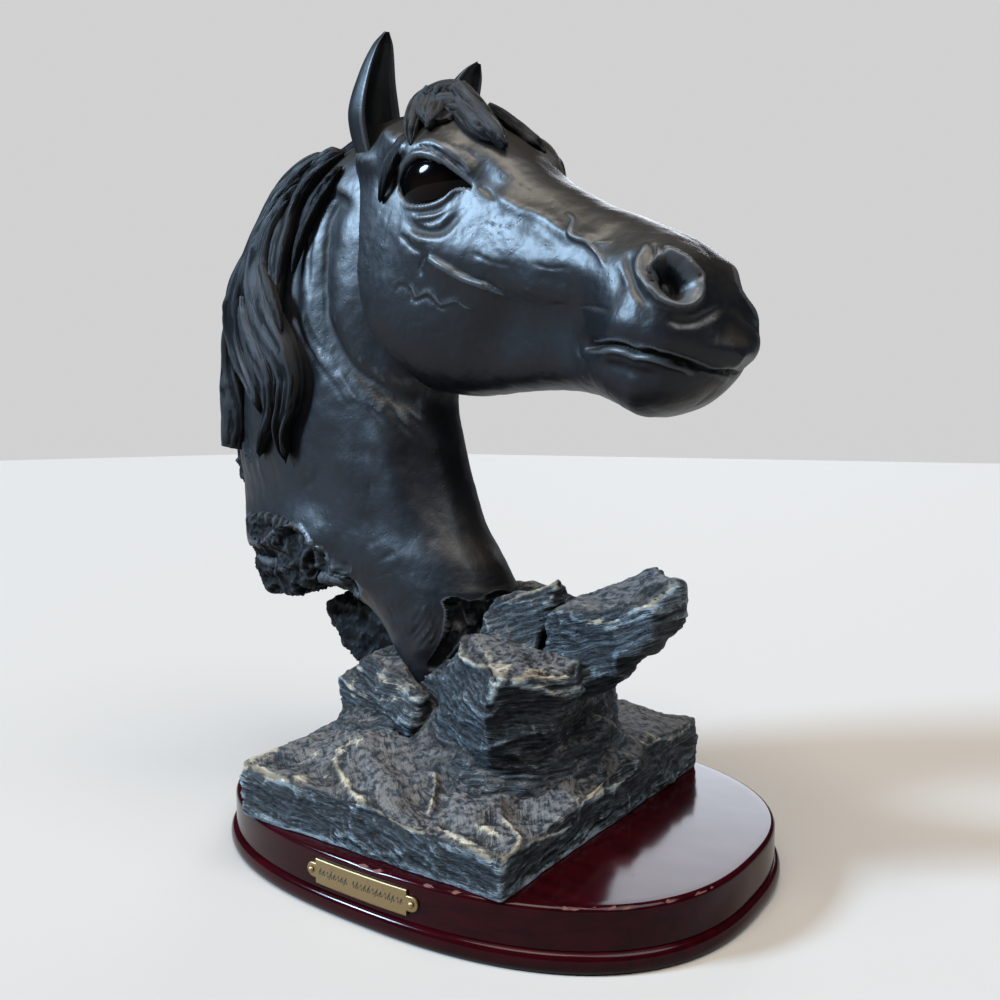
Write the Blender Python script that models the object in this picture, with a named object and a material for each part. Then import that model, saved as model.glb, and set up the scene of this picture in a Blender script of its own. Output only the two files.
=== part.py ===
"""Horse head and neck rising out of broken rocks, cast in one piece, on an oval wooden plinth.

The origin is the centre of the plinth's underside. +Z is up and +X is the way that the horse faces,
which is also the plinth's long axis. A brass name plate with two domed pins sits on the plinth's -Y side.
"""

import math
from dataclasses import dataclass

import bmesh
import bpy
import numpy as np

# Driving dimensions, in metres
FIGURE_HEIGHT = 0.380  # from the plinth's top to the ear tips; the casting's free form is in shares of it
SLAB_LENGTH = 0.142  # footprint of the rock slab along X
SLAB_WIDTH = 0.177  # footprint of the rock slab along Y
SLAB_SHIFT_X = -0.002
SLAB_SHIFT_Y = -0.0045
SLAB_OVERRUN = 0.004  # how far the slab runs down past the plinth's top before it is cut off flat
PLINTH_END_MARGIN = 0.064  # plinth beyond the slab at each end
PLINTH_SIDE_MARGIN = 0.0135  # plinth beyond the slab at each side
PLINTH_HEIGHT = 0.025
PLINTH_SQUARENESS = 2.5  # exponent of the oval: 2 is an ellipse, more is squarer
BEAD_HEIGHT = 0.008  # rounded moulding round the plinth's foot
BEAD_STEP = 0.0025  # how far the moulding stands out from the wall above
GROOVE_HEIGHT = 0.0012
TOP_ROUND = 0.0022
PLATE_LENGTH = 0.060
PLATE_HEIGHT = 0.0106
PLATE_THICKNESS = 0.0008
PLATE_NOTCH = 0.0022  # step cut out of each corner of the plate
PLATE_SHIFT_X = 0.004
PIN_RADIUS = 0.0013
PIN_INSET = 0.0030  # from the plate's end to the middle of its pin
TOUCH_GAP = 0.0003  # between pieces that rest on each other

# Fineness of the casting
VOXEL = 0.0016
CASTING_TRIANGLES = 7500
PLINTH_SIDES = 80

# The free form is drawn in millimetres for a figure 380 mm tall, heights counted from the plinth's top
UNIT = FIGURE_HEIGHT / 380.0

HEAD_ORIGIN = np.array([-41.0, 6.0, 275.0])  # on the head's axis, below the poll
HEAD_YAW = math.radians(-10.0)
HEAD_SLOPE = math.radians(32.5)
FORWARD = np.array([math.cos(HEAD_YAW), math.sin(HEAD_YAW), 0.0])
FAR_SIDE = np.array([-math.sin(HEAD_YAW), math.cos(HEAD_YAW), 0.0])
UP = np.array([0.0, 0.0, 1.0])


def smooth_curve(knots, values, at):
    """A monotone cubic through the knots, flat at its own peaks, so it never overshoots them."""
    knots, values = np.asarray(knots, float), np.asarray(values, float)
    steps = np.diff(knots)
    slopes = np.diff(values) / steps
    tangents = np.zeros_like(values)
    same_way = slopes[:-1] * slopes[1:] > 0
    weight_a = 2 * steps[1:] + steps[:-1]
    weight_b = steps[1:] + 2 * steps[:-1]
    with np.errstate(divide="ignore", invalid="ignore"):
        harmonic = (weight_a + weight_b) / (weight_a / slopes[:-1] + weight_b / slopes[1:])
    tangents[1:-1] = np.where(same_way, harmonic, 0.0)
    tangents[0], tangents[-1] = slopes[0], slopes[-1]
    at = np.clip(np.asarray(at, float), knots[0], knots[-1])
    span = np.clip(np.searchsorted(knots, at, side="right") - 1, 0, len(steps) - 1)
    width = steps[span]
    t = (at - knots[span]) / width
    return (
        (1 + 2 * t) * (1 - t) ** 2 * values[span]
        + t * (1 - t) ** 2 * width * tangents[span]
        + t * t * (3 - 2 * t) * values[span + 1]
        + t * t * (t - 1) * width * tangents[span + 1]
    )


def unit_vectors(vectors):
    return vectors / np.maximum(np.linalg.norm(vectors, axis=-1, keepdims=True), 1e-12)


def grid_normals(grid):
    """Normals of a grid of rings, from the differences along it and round it."""
    along = np.gradient(grid, axis=0)
    around = np.roll(grid, -1, axis=1) - np.roll(grid, 1, axis=1)
    return unit_vectors(np.cross(around, along))


# Profile of the head, along its own axis from behind the poll to the lips
HEAD_STATIONS = [-52, -50, -46, -36, -20, 0, 20, 45, 70, 95, 120, 140, 153, 164, 173, 180, 185, 188]
HEAD_TOP = [31, 33, 35, 41, 50, 56.5, 59, 57, 53.5, 54.5, 58, 59, 57, 51, 44, 38.5, 36, 33]
HEAD_BOTTOM = [30, 18, 8, -20, -55, -66, -68.5, -65, -55, -38, -22, -13, -10, -8, 0, 11, 21, 32]
HEAD_HALF_WIDTH = [0, 12, 21, 28, 33, 36, 36.5, 33, 28.5, 26, 26, 29, 30.5, 29, 25, 18, 9, 0]
HEAD_WIDEST_AT = [33, 29, 26, 17, 2, 0, 5, 12, 18, 22, 27, 30, 30, 28, 27, 29, 32, 32.5]
HEAD_TOP_POWER = [2.2, 2.2, 2.3, 2.6, 2.8, 2.9, 2.9, 2.7, 2.4, 2.3, 2.3, 2.4, 2.4, 2.3, 2.2, 2.1, 2, 2]
HEAD_LOW_POWER = [2, 2, 2.2, 2.6, 3, 3.2, 3.2, 3, 2.6, 2.2, 2.1, 2.2, 2.4, 2.4, 2.3, 2.1, 2, 2]


@dataclass(frozen=True)
class Stroke:
    """A mark on the side of the head: raised where lift is above zero, cut in where below."""

    path: tuple  # (along, height) on the head's axis, in mm
    width: float
    lift: float


HEAD_STROKES = (
    # Eye: the socket, the ball in it, its lids, the brow fold over it and the crease behind it
    Stroke(((14, 21), (38, 34)), 12, -4.5),
    Stroke(((18, 24.5), (26, 29), (34, 33)), 7.5, 4.5),
    Stroke(((8, 24), (12, 34), (22, 39), (33, 39), (44, 35)), 2.6, 2.6),
    Stroke(((12, 16), (22, 16), (32, 19.5), (40, 27), (49, 35)), 2.6, 2.2),
    Stroke(((4, 37), (10, 43), (20, 46), (32, 46), (44, 43)), 5.0, 3.6),
    Stroke(((16, 8), (28, 10), (40, 17)), 3.6, 1.6),
    Stroke(((-4, 38), (-6, 22), (-2, 7)), 3.0, -2.4),
    # Facial crest, and the hollows above and under it
    Stroke(((42, 5), (60, 8), (76, 9)), 5.0, 3.0),
    Stroke(((40, -3), (66, -1), (80, 1)), 3.6, -2.6),
    Stroke(((82, 10), (100, 17), (116, 23)), 6.0, 2.2),
    Stroke(((58, -14), (84, -8), (108, 4)), 9.0, -2.0),
    Stroke(((70, 32), (100, 36)), 10.0, -1.2),
    # Nostril: the flare, its rim, then the cup and the fold behind it
    Stroke(((154, 49),), 16.5, 6.5),
    Stroke(
        ((139, 51), (143, 47), (149, 43.5), (159, 41), (167, 42), (168, 46), (164, 50), (157, 54), (151, 55), (142, 55),
         (139, 51)),
        3.0, 1.8,
    ),
    Stroke(((149, 49), (160, 46.5)), 7.6, -15.0),
    Stroke(((128, 46), (138, 40), (148, 35.5), (160, 33), (170, 35)), 3.6, -2.2),
    # Mouth line, lips and chin
    Stroke(((136, 0), (150, 13), (160, 18), (170, 20.5), (182, 23.5), (187, 24)), 2.4, -4.2),
    Stroke(((142, 12), (154, 21), (166, 25), (178, 28)), 4.0, 2.0),
    Stroke(((142, 2), (156, 10), (170, 15), (180, 19)), 4.0, 2.0),
    Stroke(((185, 27),), 5.0, 3.0),
    Stroke(((158, -6), (170, 0)), 9.0, 2.5),
    Stroke(((124, -6), (134, 4)), 8.0, -1.6),
    # Jowl disc and the vein across it
    Stroke(((4, -24), (26, -30)), 28, 3.0),
    Stroke(((29, -19), (39, -20), (48, -13), (57, -14), (73, -11)), 2.2, 1.6),
)


def head_side(along, height):
    """How far the head's plain surface stands out sideways at (along, height), in mm."""
    half = smooth_curve(HEAD_STATIONS, HEAD_HALF_WIDTH, along)
    widest = smooth_curve(HEAD_STATIONS, HEAD_WIDEST_AT, along)
    rise = smooth_curve(HEAD_STATIONS, HEAD_TOP, along) - widest
    drop = widest - smooth_curve(HEAD_STATIONS, HEAD_BOTTOM, along)
    power_up = smooth_curve(HEAD_STATIONS, HEAD_TOP_POWER, along)
    power_down = smooth_curve(HEAD_STATIONS, HEAD_LOW_POWER, along)
    above = height > widest
    share = np.clip(np.abs(height - widest) / np.maximum(np.where(above, rise, drop), 1e-6), 0, 1)
    power = np.where(above, power_up, power_down)
    return half * (1 - share**power) ** (1 / power)


def distance_to_path(points, path):
    """Distance from each point to a polyline in space."""
    best = np.full(points.shape[:-1], np.inf)
    if len(path) == 1:
        return np.linalg.norm(points - path[0], axis=-1)
    for start, end in zip(path[:-1], path[1:]):
        run = end - start
        t = np.clip((points - start) @ run / (run @ run), 0, 1)
        best = np.minimum(best, np.linalg.norm(points - start - t[..., None] * run, axis=-1))
    return best


def head_grid(rows, columns):
    """The head as rings of (along, height, side) in mm, with its strokes on both sides."""
    turn = (1 - np.cos(np.linspace(0, math.pi, rows))) / 2
    even = np.linspace(0, 1, rows)
    along = HEAD_STATIONS[0] + (HEAD_STATIONS[-1] - HEAD_STATIONS[0]) * (0.5 * turn + 0.5 * even)
    angle = np.linspace(0, 2 * math.pi, columns, endpoint=False)
    half = smooth_curve(HEAD_STATIONS, HEAD_HALF_WIDTH, along)[:, None]
    widest = smooth_curve(HEAD_STATIONS, HEAD_WIDEST_AT, along)[:, None]
    top = smooth_curve(HEAD_STATIONS, HEAD_TOP, along)[:, None]
    bottom = smooth_curve(HEAD_STATIONS, HEAD_BOTTOM, along)[:, None]
    power_up = smooth_curve(HEAD_STATIONS, HEAD_TOP_POWER, along)[:, None]
    power_down = smooth_curve(HEAD_STATIONS, HEAD_LOW_POWER, along)[:, None]
    cosine, sine = np.cos(angle)[None, :], np.sin(angle)[None, :]
    power = np.where(cosine > 0, power_up, power_down)
    reach = np.where(cosine > 0, top - widest, widest - bottom)
    side = half * np.sign(sine) * np.abs(sine) ** (2 / power)
    height = widest + reach * np.sign(cosine) * np.abs(cosine) ** (2 / power)
    grid = np.stack([np.broadcast_to(along[:, None], side.shape), height, side], axis=-1)
    for stroke in HEAD_STROKES:
        normals = grid_normals(grid)
        path = np.array([(a, h, float(head_side(a, h))) for a, h in stroke.path])
        for mirror in (1.0, -1.0):
            distance = distance_to_path(grid, path * (1, 1, mirror))
            grid = grid + (stroke.lift * np.exp(-((distance / stroke.width) ** 2)))[..., None] * normals
    return grid


def head_place(grid):
    """From (along, height, side) on the head to figure coordinates."""
    along, height, side = grid[..., 0:1], grid[..., 1:2], grid[..., 2:3]
    ahead = along * math.cos(HEAD_SLOPE) + height * math.sin(HEAD_SLOPE)
    rise = height * math.cos(HEAD_SLOPE) - along * math.sin(HEAD_SLOPE)
    return HEAD_ORIGIN + ahead * FORWARD + side * FAR_SIDE + rise * UP


# Neck, as level slices: where its front and its crest are and how thick it is
NECK_LEVELS = [30, 60, 75, 84, 90, 95, 98, 102, 110, 125, 145, 165, 190, 215, 240, 265, 285, 305, 320, 328]
NECK_FRONT = [-20, -14, -4, 3, 8, 10, 10, 9, 6, -6, -15, -23, -29, -28, -22, -16, -18, -28, -48, -68]
NECK_CREST = [
    -38, -46, -58, -68, -80, -98, -125, -150, -163, -170, -173, -176, -176, -173, -165, -153, -141, -125, -104, -85
]
NECK_HALF_THICKNESS = [18, 24, 27, 28, 28, 28, 28, 28, 28, 28, 29, 30, 31, 31, 31, 30, 28, 24, 16, 0]
NECK_CENTRE_Y = [-6, -4, -3, -3, -3, -3, -2, -2, -2, -1, 0, 1, 2, 3, 4, 6, 8, 10, 13, 14]


def neck_grid(rows, columns):
    """The neck as level rings, each a blunt oval that narrows towards the crest."""
    level = np.linspace(NECK_LEVELS[0], NECK_LEVELS[-1], rows)[:, None]
    angle = np.linspace(0, 2 * math.pi, columns, endpoint=False)[None, :]
    front = smooth_curve(NECK_LEVELS, NECK_FRONT, level)
    crest = smooth_curve(NECK_LEVELS, NECK_CREST, level)
    half = smooth_curve(NECK_LEVELS, NECK_HALF_THICKNESS, level)
    centre = smooth_curve(NECK_LEVELS, NECK_CENTRE_Y, level)
    cosine, sine = np.cos(angle), np.sin(angle)
    x = (front + crest) / 2 + (front - crest) / 2 * np.sign(cosine) * np.abs(cosine) ** 0.9
    y = centre + half * np.sign(sine) * np.abs(sine) ** 0.9 * (1 + 0.18 * cosine)
    return np.stack([x, y, np.broadcast_to(level, x.shape)], axis=-1)


@dataclass(frozen=True)
class Ear:
    """An ear: which side it is on, where its tip is ahead of and over the head's origin, and how far it turns out."""

    side: float
    tip_ahead: float
    tip_rise: float
    turn_out: float


EARS = (Ear(-1.0, 1, 90, 0.30), Ear(1.0, 4, 92, 0.32))
EAR_LIP = 0.78  # inner width of an ear's cup as a share of its outer width


def ear_grid(ear, rows, columns):
    """A leaf-shaped cup: each ring is a crescent open to the front and outwards."""
    v = np.linspace(0, 1, rows)[:, None]
    angle = np.linspace(0, 2 * math.pi, columns, endpoint=False)[None, :]
    outwards = FAR_SIDE * ear.side
    base = HEAD_ORIGIN + FORWARD * -20 + outwards * 23 + UP * 26
    tip = HEAD_ORIGIN + FORWARD * ear.tip_ahead + outwards * 29 + UP * ear.tip_rise
    open_way = unit_vectors(FORWARD + outwards * ear.turn_out)
    axis = unit_vectors(tip - base)
    open_way = unit_vectors(open_way - axis * (open_way @ axis))
    across = np.cross(axis, open_way)
    half = smooth_curve([0, 0.12, 0.4, 0.7, 0.92, 1], [9, 11.5, 13.5, 9.5, 4.2, 0.6], v)
    depth = half * 0.85
    wall = smooth_curve([0, 0.3, 0.8, 1], [9, 4.5, 4.0, 0.6], v)
    cosine, sine = np.cos(angle), np.sin(angle)
    half = np.where(sine >= -1e-9, 1.0, EAR_LIP) * half
    inward = np.where(sine > 0, -depth * sine, np.minimum(wall - depth, -0.1) * -sine)
    spine = base + (tip - base) * v[..., None]
    bend = 5.0 * np.sin(math.pi * v)[..., None] * -open_way
    return spine + bend + (half * cosine)[..., None] * across + inward[..., None] * open_way


def lock_grid(path, half_widths, thickness, columns):
    """A lock of hair: flattened rings carried along a smooth path, tapering to its tip.

    The path gives the place and, at each point, the way that the lock's face looks."""
    path = np.asarray(path, float)
    count = 6 * (len(path) - 1) + 1
    knots = np.arange(len(path))
    at = np.linspace(0, len(path) - 1, count)
    spine = np.stack([smooth_curve(knots, path[:, k], at) for k in range(3)], axis=-1)
    facing = unit_vectors(np.stack([smooth_curve(knots, path[:, k], at) for k in range(3, 6)], axis=-1))
    run = unit_vectors(np.gradient(spine, axis=0))
    across = unit_vectors(np.cross(run, facing))
    share = at / at[-1]
    half = smooth_curve(np.linspace(0, 1, len(half_widths)), half_widths, share)
    thick = thickness * np.minimum(1, 0.25 + half / max(half_widths))
    angle = np.linspace(0, 2 * math.pi, columns, endpoint=False)
    rings = (
        spine[:, None, :]
        + (half[:, None] * np.cos(angle))[..., None] * across[:, None, :]
        + (thick[:, None] * np.sin(angle))[..., None] * facing[:, None, :]
    )
    rings[0], rings[-1] = spine[0], spine[-1]
    return rings


@dataclass(frozen=True)
class Lock:
    """A lock of hair: the middle of its path, half its width along the way and how thick it is, in mm."""

    path: tuple
    half_widths: tuple
    thickness: float


# Mane, in figure coordinates on the near side of the neck
MANE = (
    Lock(((-86, 2, 314), (-90, -16, 294), (-99, -22, 272), (-105, -23, 260)), (5, 7, 6, 1), 4),
    Lock(((-98, 2, 314), (-110, -14, 292), (-116, -20, 272), (-118, -22, 254)), (5, 8, 7, 1), 5),
    Lock(
        ((-110, 2, 308), (-126, -14, 282), (-124, -24, 254), (-114, -29, 226), (-107, -32, 200), (-107, -31, 178),
         (-109, -28, 156)),
        (6, 11, 12, 11, 10, 7, 1), 7,
    ),
    Lock(
        ((-126, 4, 300), (-143, -9, 270), (-148, -18, 240), (-141, -25, 212), (-130, -29, 186), (-122, -29, 155)),
        (6, 11, 13, 12, 10, 1), 7,
    ),
    Lock(
        ((-140, 8, 284), (-159, -2, 254), (-168, -9, 226), (-167, -15, 200), (-160, -18, 176), (-155, -17, 158)),
        (6, 10, 12, 11, 8, 1), 6,
    ),
    Lock(((-148, 10, 268), (-171, 3, 240), (-182, -3, 214), (-184, -7, 190), (-181, -9, 166)), (6, 10, 10, 9, 7), 5),
)

# Forelock, as (along, height, side) on the head
FORELOCK = (
    Lock(((-32, 42, 2), (-26, 53, 1), (-10, 58, -8), (12, 58.5, -15), (30, 57, -18), (48, 54, -17)),
         (6, 9, 10, 9, 6, 1.5), 5),
    Lock(((-34, 36, -6), (-28, 46, -9), (-19, 47, -19), (-9, 44, -26), (-1, 40, -31), (6, 36, -34)),
         (5, 7, 8, 7, 5, 1), 4.5),
    Lock(((-34, 44, 8), (-26, 52, 8), (-8, 55, 9), (14, 57.5, 10), (34, 56.5, 12)), (5, 8, 8, 6, 1), 3),
)


def mane_grids(columns):
    """Each lock of the mane, its face turned out from the neck."""
    for lock in MANE:
        facing = np.array([0.0, -1.0, 0.15])
        yield lock_grid([(*point, *facing) for point in lock.path], lock.half_widths, lock.thickness, columns)


def forelock_grids(columns):
    """Each lock of the forelock, its face turned out from the head's axis."""
    for lock in FORELOCK:
        path = np.array(lock.path, float)
        outward = unit_vectors(path * (0, 1, 1) - (0, 22, 0))
        facing = head_place(outward) - head_place(np.zeros(3))
        yield lock_grid(np.hstack([head_place(path), facing]), lock.half_widths, lock.thickness, columns)


# Corners of the rocks, in figure coordinates; each rock is the block that its corners span
ROCKS = {
    "big": (
        (8, -32, 83), (-12, -28, 60), (46, -58, 74), (62, -24, 76), (66, -30, 70), (38, -62, 58), (40, -58, 22),
        (-20, -36, 26), (50, -40, 22), (10, -5, 78), (56, 2, 60), (-18, -5, 30), (48, 0, 20),
    ),
    "thrust": (
        (40, -15, 92), (30, 16, 94), (75, 20, 112), (102, -10, 112), (94, -20, 102), (104, -8, 96), (93, -20, 88),
        (87, -12, 79), (70, -12, 60), (60, 20, 70), (36, 20, 50), (40, -20, 50),
    ),
    "shard": (
        (10, -14, 97), (42, -8, 108), (42, -2, 102), (36, -14, 84), (34, -20, 72), (6, -28, 72), (8, 6, 92),
        (34, 6, 98), (20, 8, 60),
    ),
    "left": (
        (-53, -32, 65), (-72, -28, 52), (-72, -33, 41), (-68, -33, 22), (-15, -42, 40), (-12, -40, 54),
        (-34, -30, 64), (-76, 0, 50), (-60, 8, 62), (-20, 0, 20), (-72, 4, 20), (-16, -40, 20),
    ),
    "torn": (
        (-163, -10, 118), (-160, -8, 97), (-152, -8, 85), (-138, -12, 82), (-118, -20, 90), (-98, -27, 92),
        (-90, -27, 104), (-100, -29, 122), (-122, -30, 130), (-146, -26, 128), (-158, 12, 116), (-150, 14, 90),
        (-120, 20, 90), (-98, 20, 98), (-112, 24, 124), (-158, -16, 126),
    ),
    "torn_edge": (
        (-178, -4, 172), (-176, -6, 150), (-166, -10, 136), (-168, 10, 140), (-176, 8, 168), (-150, -20, 168),
        (-150, 20, 168), (-148, -16, 134), (-148, 16, 136),
    ),
    "lump": (
        (-121, 8, 72), (-114, 0, 80), (-98, 0, 88), (-92, -4, 52), (-112, 14, 64), (-100, 24, 84), (-86, 26, 70),
        (-84, 12, 44), (-62, -8, 86), (-52, -6, 46), (-54, 14, 84),
    ),
    "core": (
        (-70, -18, 5), (-62, 38, 5), (56, 42, 5), (55, -20, 5), (-58, -10, 46), (-50, 28, 66), (44, 34, 72),
        (46, -14, 78), (-30, -18, 60),
    ),
    "back": (
        (-34, 6, 20), (44, 8, 20), (-44, 42, 12), (50, 48, 12), (-30, 12, 88), (-6, 26, 100), (30, 12, 102),
        (-26, 34, 72), (38, 38, 84), (10, 36, 92),
    ),
    "back_left": (
        (-98, 4, 66), (-92, 30, 60), (-64, 34, 74), (-56, 36, 20), (-70, 6, 20), (-50, 10, 84), (-74, 30, 26),
    ),
}


@dataclass(frozen=True)
class Swell:
    """A rise of the slab's top: its height in mm, then its middle and its spread in shares of length and width."""

    height: float
    middle: tuple
    spread: tuple


SLAB_CORNER_HEIGHTS = ((24, 27), (15, 25))  # in mm over the plinth, by end along X and by side along Y
SLAB_SWELLS = (
    Swell(16, (0.55, 0.48), (0.34, 0.29)),  # under the rocks
    Swell(6, (0.32, 0.175), (0.10, 0.09)),  # near ridge
    Swell(4, (0.88, 0.695), (0.11, 0.19)),  # ridge along the right side
)


def slab_height(u, v):
    """Height of the slab's broken top over the plinth, in mm, at shares of its length and width."""
    (back_near, back_far), (front_near, front_far) = SLAB_CORNER_HEIGHTS
    height = (1 - u) * ((1 - v) * back_near + v * back_far) + u * ((1 - v) * front_near + v * front_far)
    for swell in SLAB_SWELLS:
        off_u = (u - swell.middle[0]) / swell.spread[0]
        off_v = (v - swell.middle[1]) / swell.spread[1]
        height = height + swell.height * np.exp(-(off_u**2) - off_v**2)
    return height


def add_material(name, colour, roughness, metallic):
    material = bpy.data.materials.new(name)
    material.use_nodes = True
    shader = material.node_tree.nodes["Principled BSDF"]
    shader.inputs["Base Color"].default_value = (*colour, 1.0)
    shader.inputs["Roughness"].default_value = roughness
    shader.inputs["Metallic"].default_value = metallic
    return material


def add_object(name, mesh, material):
    mesh.materials.clear()
    mesh.materials.append(material)
    made = bpy.data.objects.new(name, mesh)
    bpy.context.scene.collection.objects.link(made)
    return made


def add_rings(bm, rings):
    """Adds a closed body whose first and last rings shrink to a point or are capped."""
    verts = [[bm.verts.new(point) for point in ring] for ring in rings]
    count = len(verts[0])
    faces = []
    for lower, upper in zip(verts[:-1], verts[1:]):
        for k in range(count):
            following = (k + 1) % count
            faces.append(bm.faces.new((lower[k], lower[following], upper[following], upper[k])))
    faces.append(bm.faces.new(verts[0]))
    faces.append(bm.faces.new(verts[-1]))
    return faces


def face_outwards(bm, faces):
    bmesh.ops.recalc_face_normals(bm, faces=faces)


def figure_points(points):
    """Figure coordinates in mm to metres over the plinth."""
    return np.asarray(points) * UNIT + (0.0, 0.0, PLINTH_HEIGHT + TOUCH_GAP)


def add_form(bm, rings):
    face_outwards(bm, add_rings(bm, figure_points(rings)))


def add_block(bm, corners):
    verts = [bm.verts.new(point) for point in figure_points(corners)]
    hull = bmesh.ops.convex_hull(bm, input=verts)
    inner = [item for item in hull["geom_interior"] if isinstance(item, bmesh.types.BMVert)]
    bmesh.ops.delete(bm, geom=inner, context="VERTS")
    face_outwards(bm, [face for face in bm.faces if any(vert in face.verts for vert in verts if vert.is_valid)])


def add_slab(bm, steps=24):
    """The slab: a grid over its footprint for the top, straight walls and a flat underside."""
    share = np.linspace(0, 1, steps)
    u, v = np.meshgrid(share, share, indexing="ij")
    x = (u - 0.5) * SLAB_LENGTH + SLAB_SHIFT_X
    y = (v - 0.5) * SLAB_WIDTH + SLAB_SHIFT_Y
    z = slab_height(u, v) * UNIT + PLINTH_HEIGHT
    top = [[bm.verts.new((x[i, j], y[i, j], z[i, j])) for j in range(steps)] for i in range(steps)]
    faces = []
    for i in range(steps - 1):
        for j in range(steps - 1):
            faces.append(bm.faces.new((top[i][j], top[i + 1][j], top[i + 1][j + 1], top[i][j + 1])))
    rim = [top[i][0] for i in range(steps)] + [top[-1][j] for j in range(1, steps)]
    rim += [top[i][-1] for i in range(steps - 2, -1, -1)] + [top[0][j] for j in range(steps - 2, 0, -1)]
    under = [bm.verts.new((vert.co.x, vert.co.y, PLINTH_HEIGHT - SLAB_OVERRUN)) for vert in rim]
    for k in range(len(rim)):
        following = (k + 1) % len(rim)
        faces.append(bm.faces.new((rim[k], rim[following], under[following], under[k])))
    faces.append(bm.faces.new(under))
    face_outwards(bm, faces)


def applied(source):
    """The object's mesh with its modifiers applied."""
    bpy.context.view_layer.update()
    graph = bpy.context.evaluated_depsgraph_get()
    mesh = bpy.data.meshes.new_from_object(source.evaluated_get(graph))
    source.modifiers.clear()
    source.data = mesh
    return mesh


def cut_flat(mesh, level):
    """Cuts off what lies under the level and closes the cut with a flat face."""
    bm = bmesh.new()
    bm.from_mesh(mesh)
    everything = bm.verts[:] + bm.edges[:] + bm.faces[:]
    bmesh.ops.bisect_plane(
        bm, geom=everything, dist=1e-6, plane_co=(0, 0, level), plane_no=(0, 0, -1), clear_outer=True
    )
    rim = [edge for edge in bm.edges if edge.is_boundary]
    bmesh.ops.holes_fill(bm, edges=rim)
    bmesh.ops.triangulate(bm, faces=bm.faces[:])
    bm.to_mesh(mesh)
    bm.free()


def make_casting(material):
    """Head, neck, ears, mane and rocks, melted into one solid."""
    bm = bmesh.new()
    add_form(bm, head_place(head_grid(90, 72)))
    add_form(bm, neck_grid(60, 48))
    for ear in EARS:
        add_form(bm, ear_grid(ear, 24, 24))
    for rings in mane_grids(12):
        add_form(bm, rings)
    for rings in forelock_grids(12):
        add_form(bm, rings)
    for corners in ROCKS.values():
        add_block(bm, corners)
    add_slab(bm)
    mesh = bpy.data.meshes.new("casting")
    bm.to_mesh(mesh)
    bm.free()
    casting = add_object("horse_head_casting", mesh, material)
    melt = casting.modifiers.new("melt", "REMESH")
    melt.mode = "VOXEL"
    melt.voxel_size = VOXEL
    applied(casting)
    thin = casting.modifiers.new("thin", "DECIMATE")
    thin.ratio = CASTING_TRIANGLES / (2 * len(casting.data.polygons))
    mesh = applied(casting)
    cut_flat(mesh, PLINTH_HEIGHT + TOUCH_GAP)
    mesh.materials.clear()
    mesh.materials.append(material)
    return casting


PLINTH_HALF_LENGTH = SLAB_LENGTH / 2 + PLINTH_END_MARGIN
PLINTH_HALF_WIDTH = SLAB_WIDTH / 2 + PLINTH_SIDE_MARGIN
WALL_INSET = BEAD_STEP


def oval(angle, inset):
    """A point of the plinth's outline, drawn in by an inset."""
    cosine, sine = np.cos(angle), np.sin(angle)
    x = (PLINTH_HALF_LENGTH - inset) * np.sign(cosine) * np.abs(cosine) ** (2 / PLINTH_SQUARENESS)
    y = (PLINTH_HALF_WIDTH - inset) * np.sign(sine) * np.abs(sine) ** (2 / PLINTH_SQUARENESS)
    return x, y


def plinth_profile():
    """(inset, height) from the foot up: rounded bead, groove, plain wall, rounded top edge."""
    turn = np.linspace(-math.pi / 2, math.pi / 2, 6)
    bead_radius = BEAD_HEIGHT / 2
    bead = [(BEAD_STEP * (1 - math.cos(t)) * 0.8, bead_radius * (1 + math.sin(t))) for t in turn]
    groove = [
        (WALL_INSET * 1.5, BEAD_HEIGHT + GROOVE_HEIGHT * 0.2),
        (WALL_INSET * 1.5, BEAD_HEIGHT + GROOVE_HEIGHT * 0.9),
    ]
    wall_top = PLINTH_HEIGHT - TOP_ROUND
    corner = [
        (WALL_INSET + TOP_ROUND * (1 - math.cos(t)), wall_top + TOP_ROUND * math.sin(t))
        for t in np.linspace(0, math.pi / 2, 4)
    ]
    return bead + groove + [(WALL_INSET, BEAD_HEIGHT + GROOVE_HEIGHT * 1.2)] + corner


def make_plinth(material):
    angle = np.linspace(0, 2 * math.pi, PLINTH_SIDES, endpoint=False)
    rings = []
    for inset, height in plinth_profile():
        x, y = oval(angle, inset)
        rings.append(np.stack([x, y, np.full_like(x, height)], axis=-1))
    bm = bmesh.new()
    face_outwards(bm, add_rings(bm, rings))
    mesh = bpy.data.meshes.new("plinth")
    bm.to_mesh(mesh)
    bm.free()
    mesh.shade_smooth()
    mesh.set_sharp_from_angle(angle=math.radians(35))
    return add_object("plinth", mesh, material)


def wall_place(x, out, height):
    """A point on the plinth's -Y wall at x, standing out by a distance."""
    share = np.abs(np.asarray(x) / (PLINTH_HALF_LENGTH - WALL_INSET))
    y = -(PLINTH_HALF_WIDTH - WALL_INSET) * (1 - share**PLINTH_SQUARENESS) ** (1 / PLINTH_SQUARENESS)
    return np.stack(np.broadcast_arrays(x, y - out, height), axis=-1)


PLATE_CENTRE_HEIGHT = (BEAD_HEIGHT + GROOVE_HEIGHT + PLINTH_HEIGHT - TOP_ROUND) / 2


def plate_half_height(x):
    """Half the plate's height at x from its middle: full, stepped in at the notches, then round lobes."""
    from_end = PLATE_LENGTH / 2 - np.abs(x)
    lobe = PLATE_HEIGHT / 2 - PLATE_NOTCH
    rounded = np.sqrt(np.clip(lobe**2 - (lobe - np.clip(from_end, 0, lobe)) ** 2, 1e-10, None))
    return np.where(from_end < lobe, rounded, np.where(from_end < lobe + PLATE_NOTCH, lobe, PLATE_HEIGHT / 2))


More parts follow.
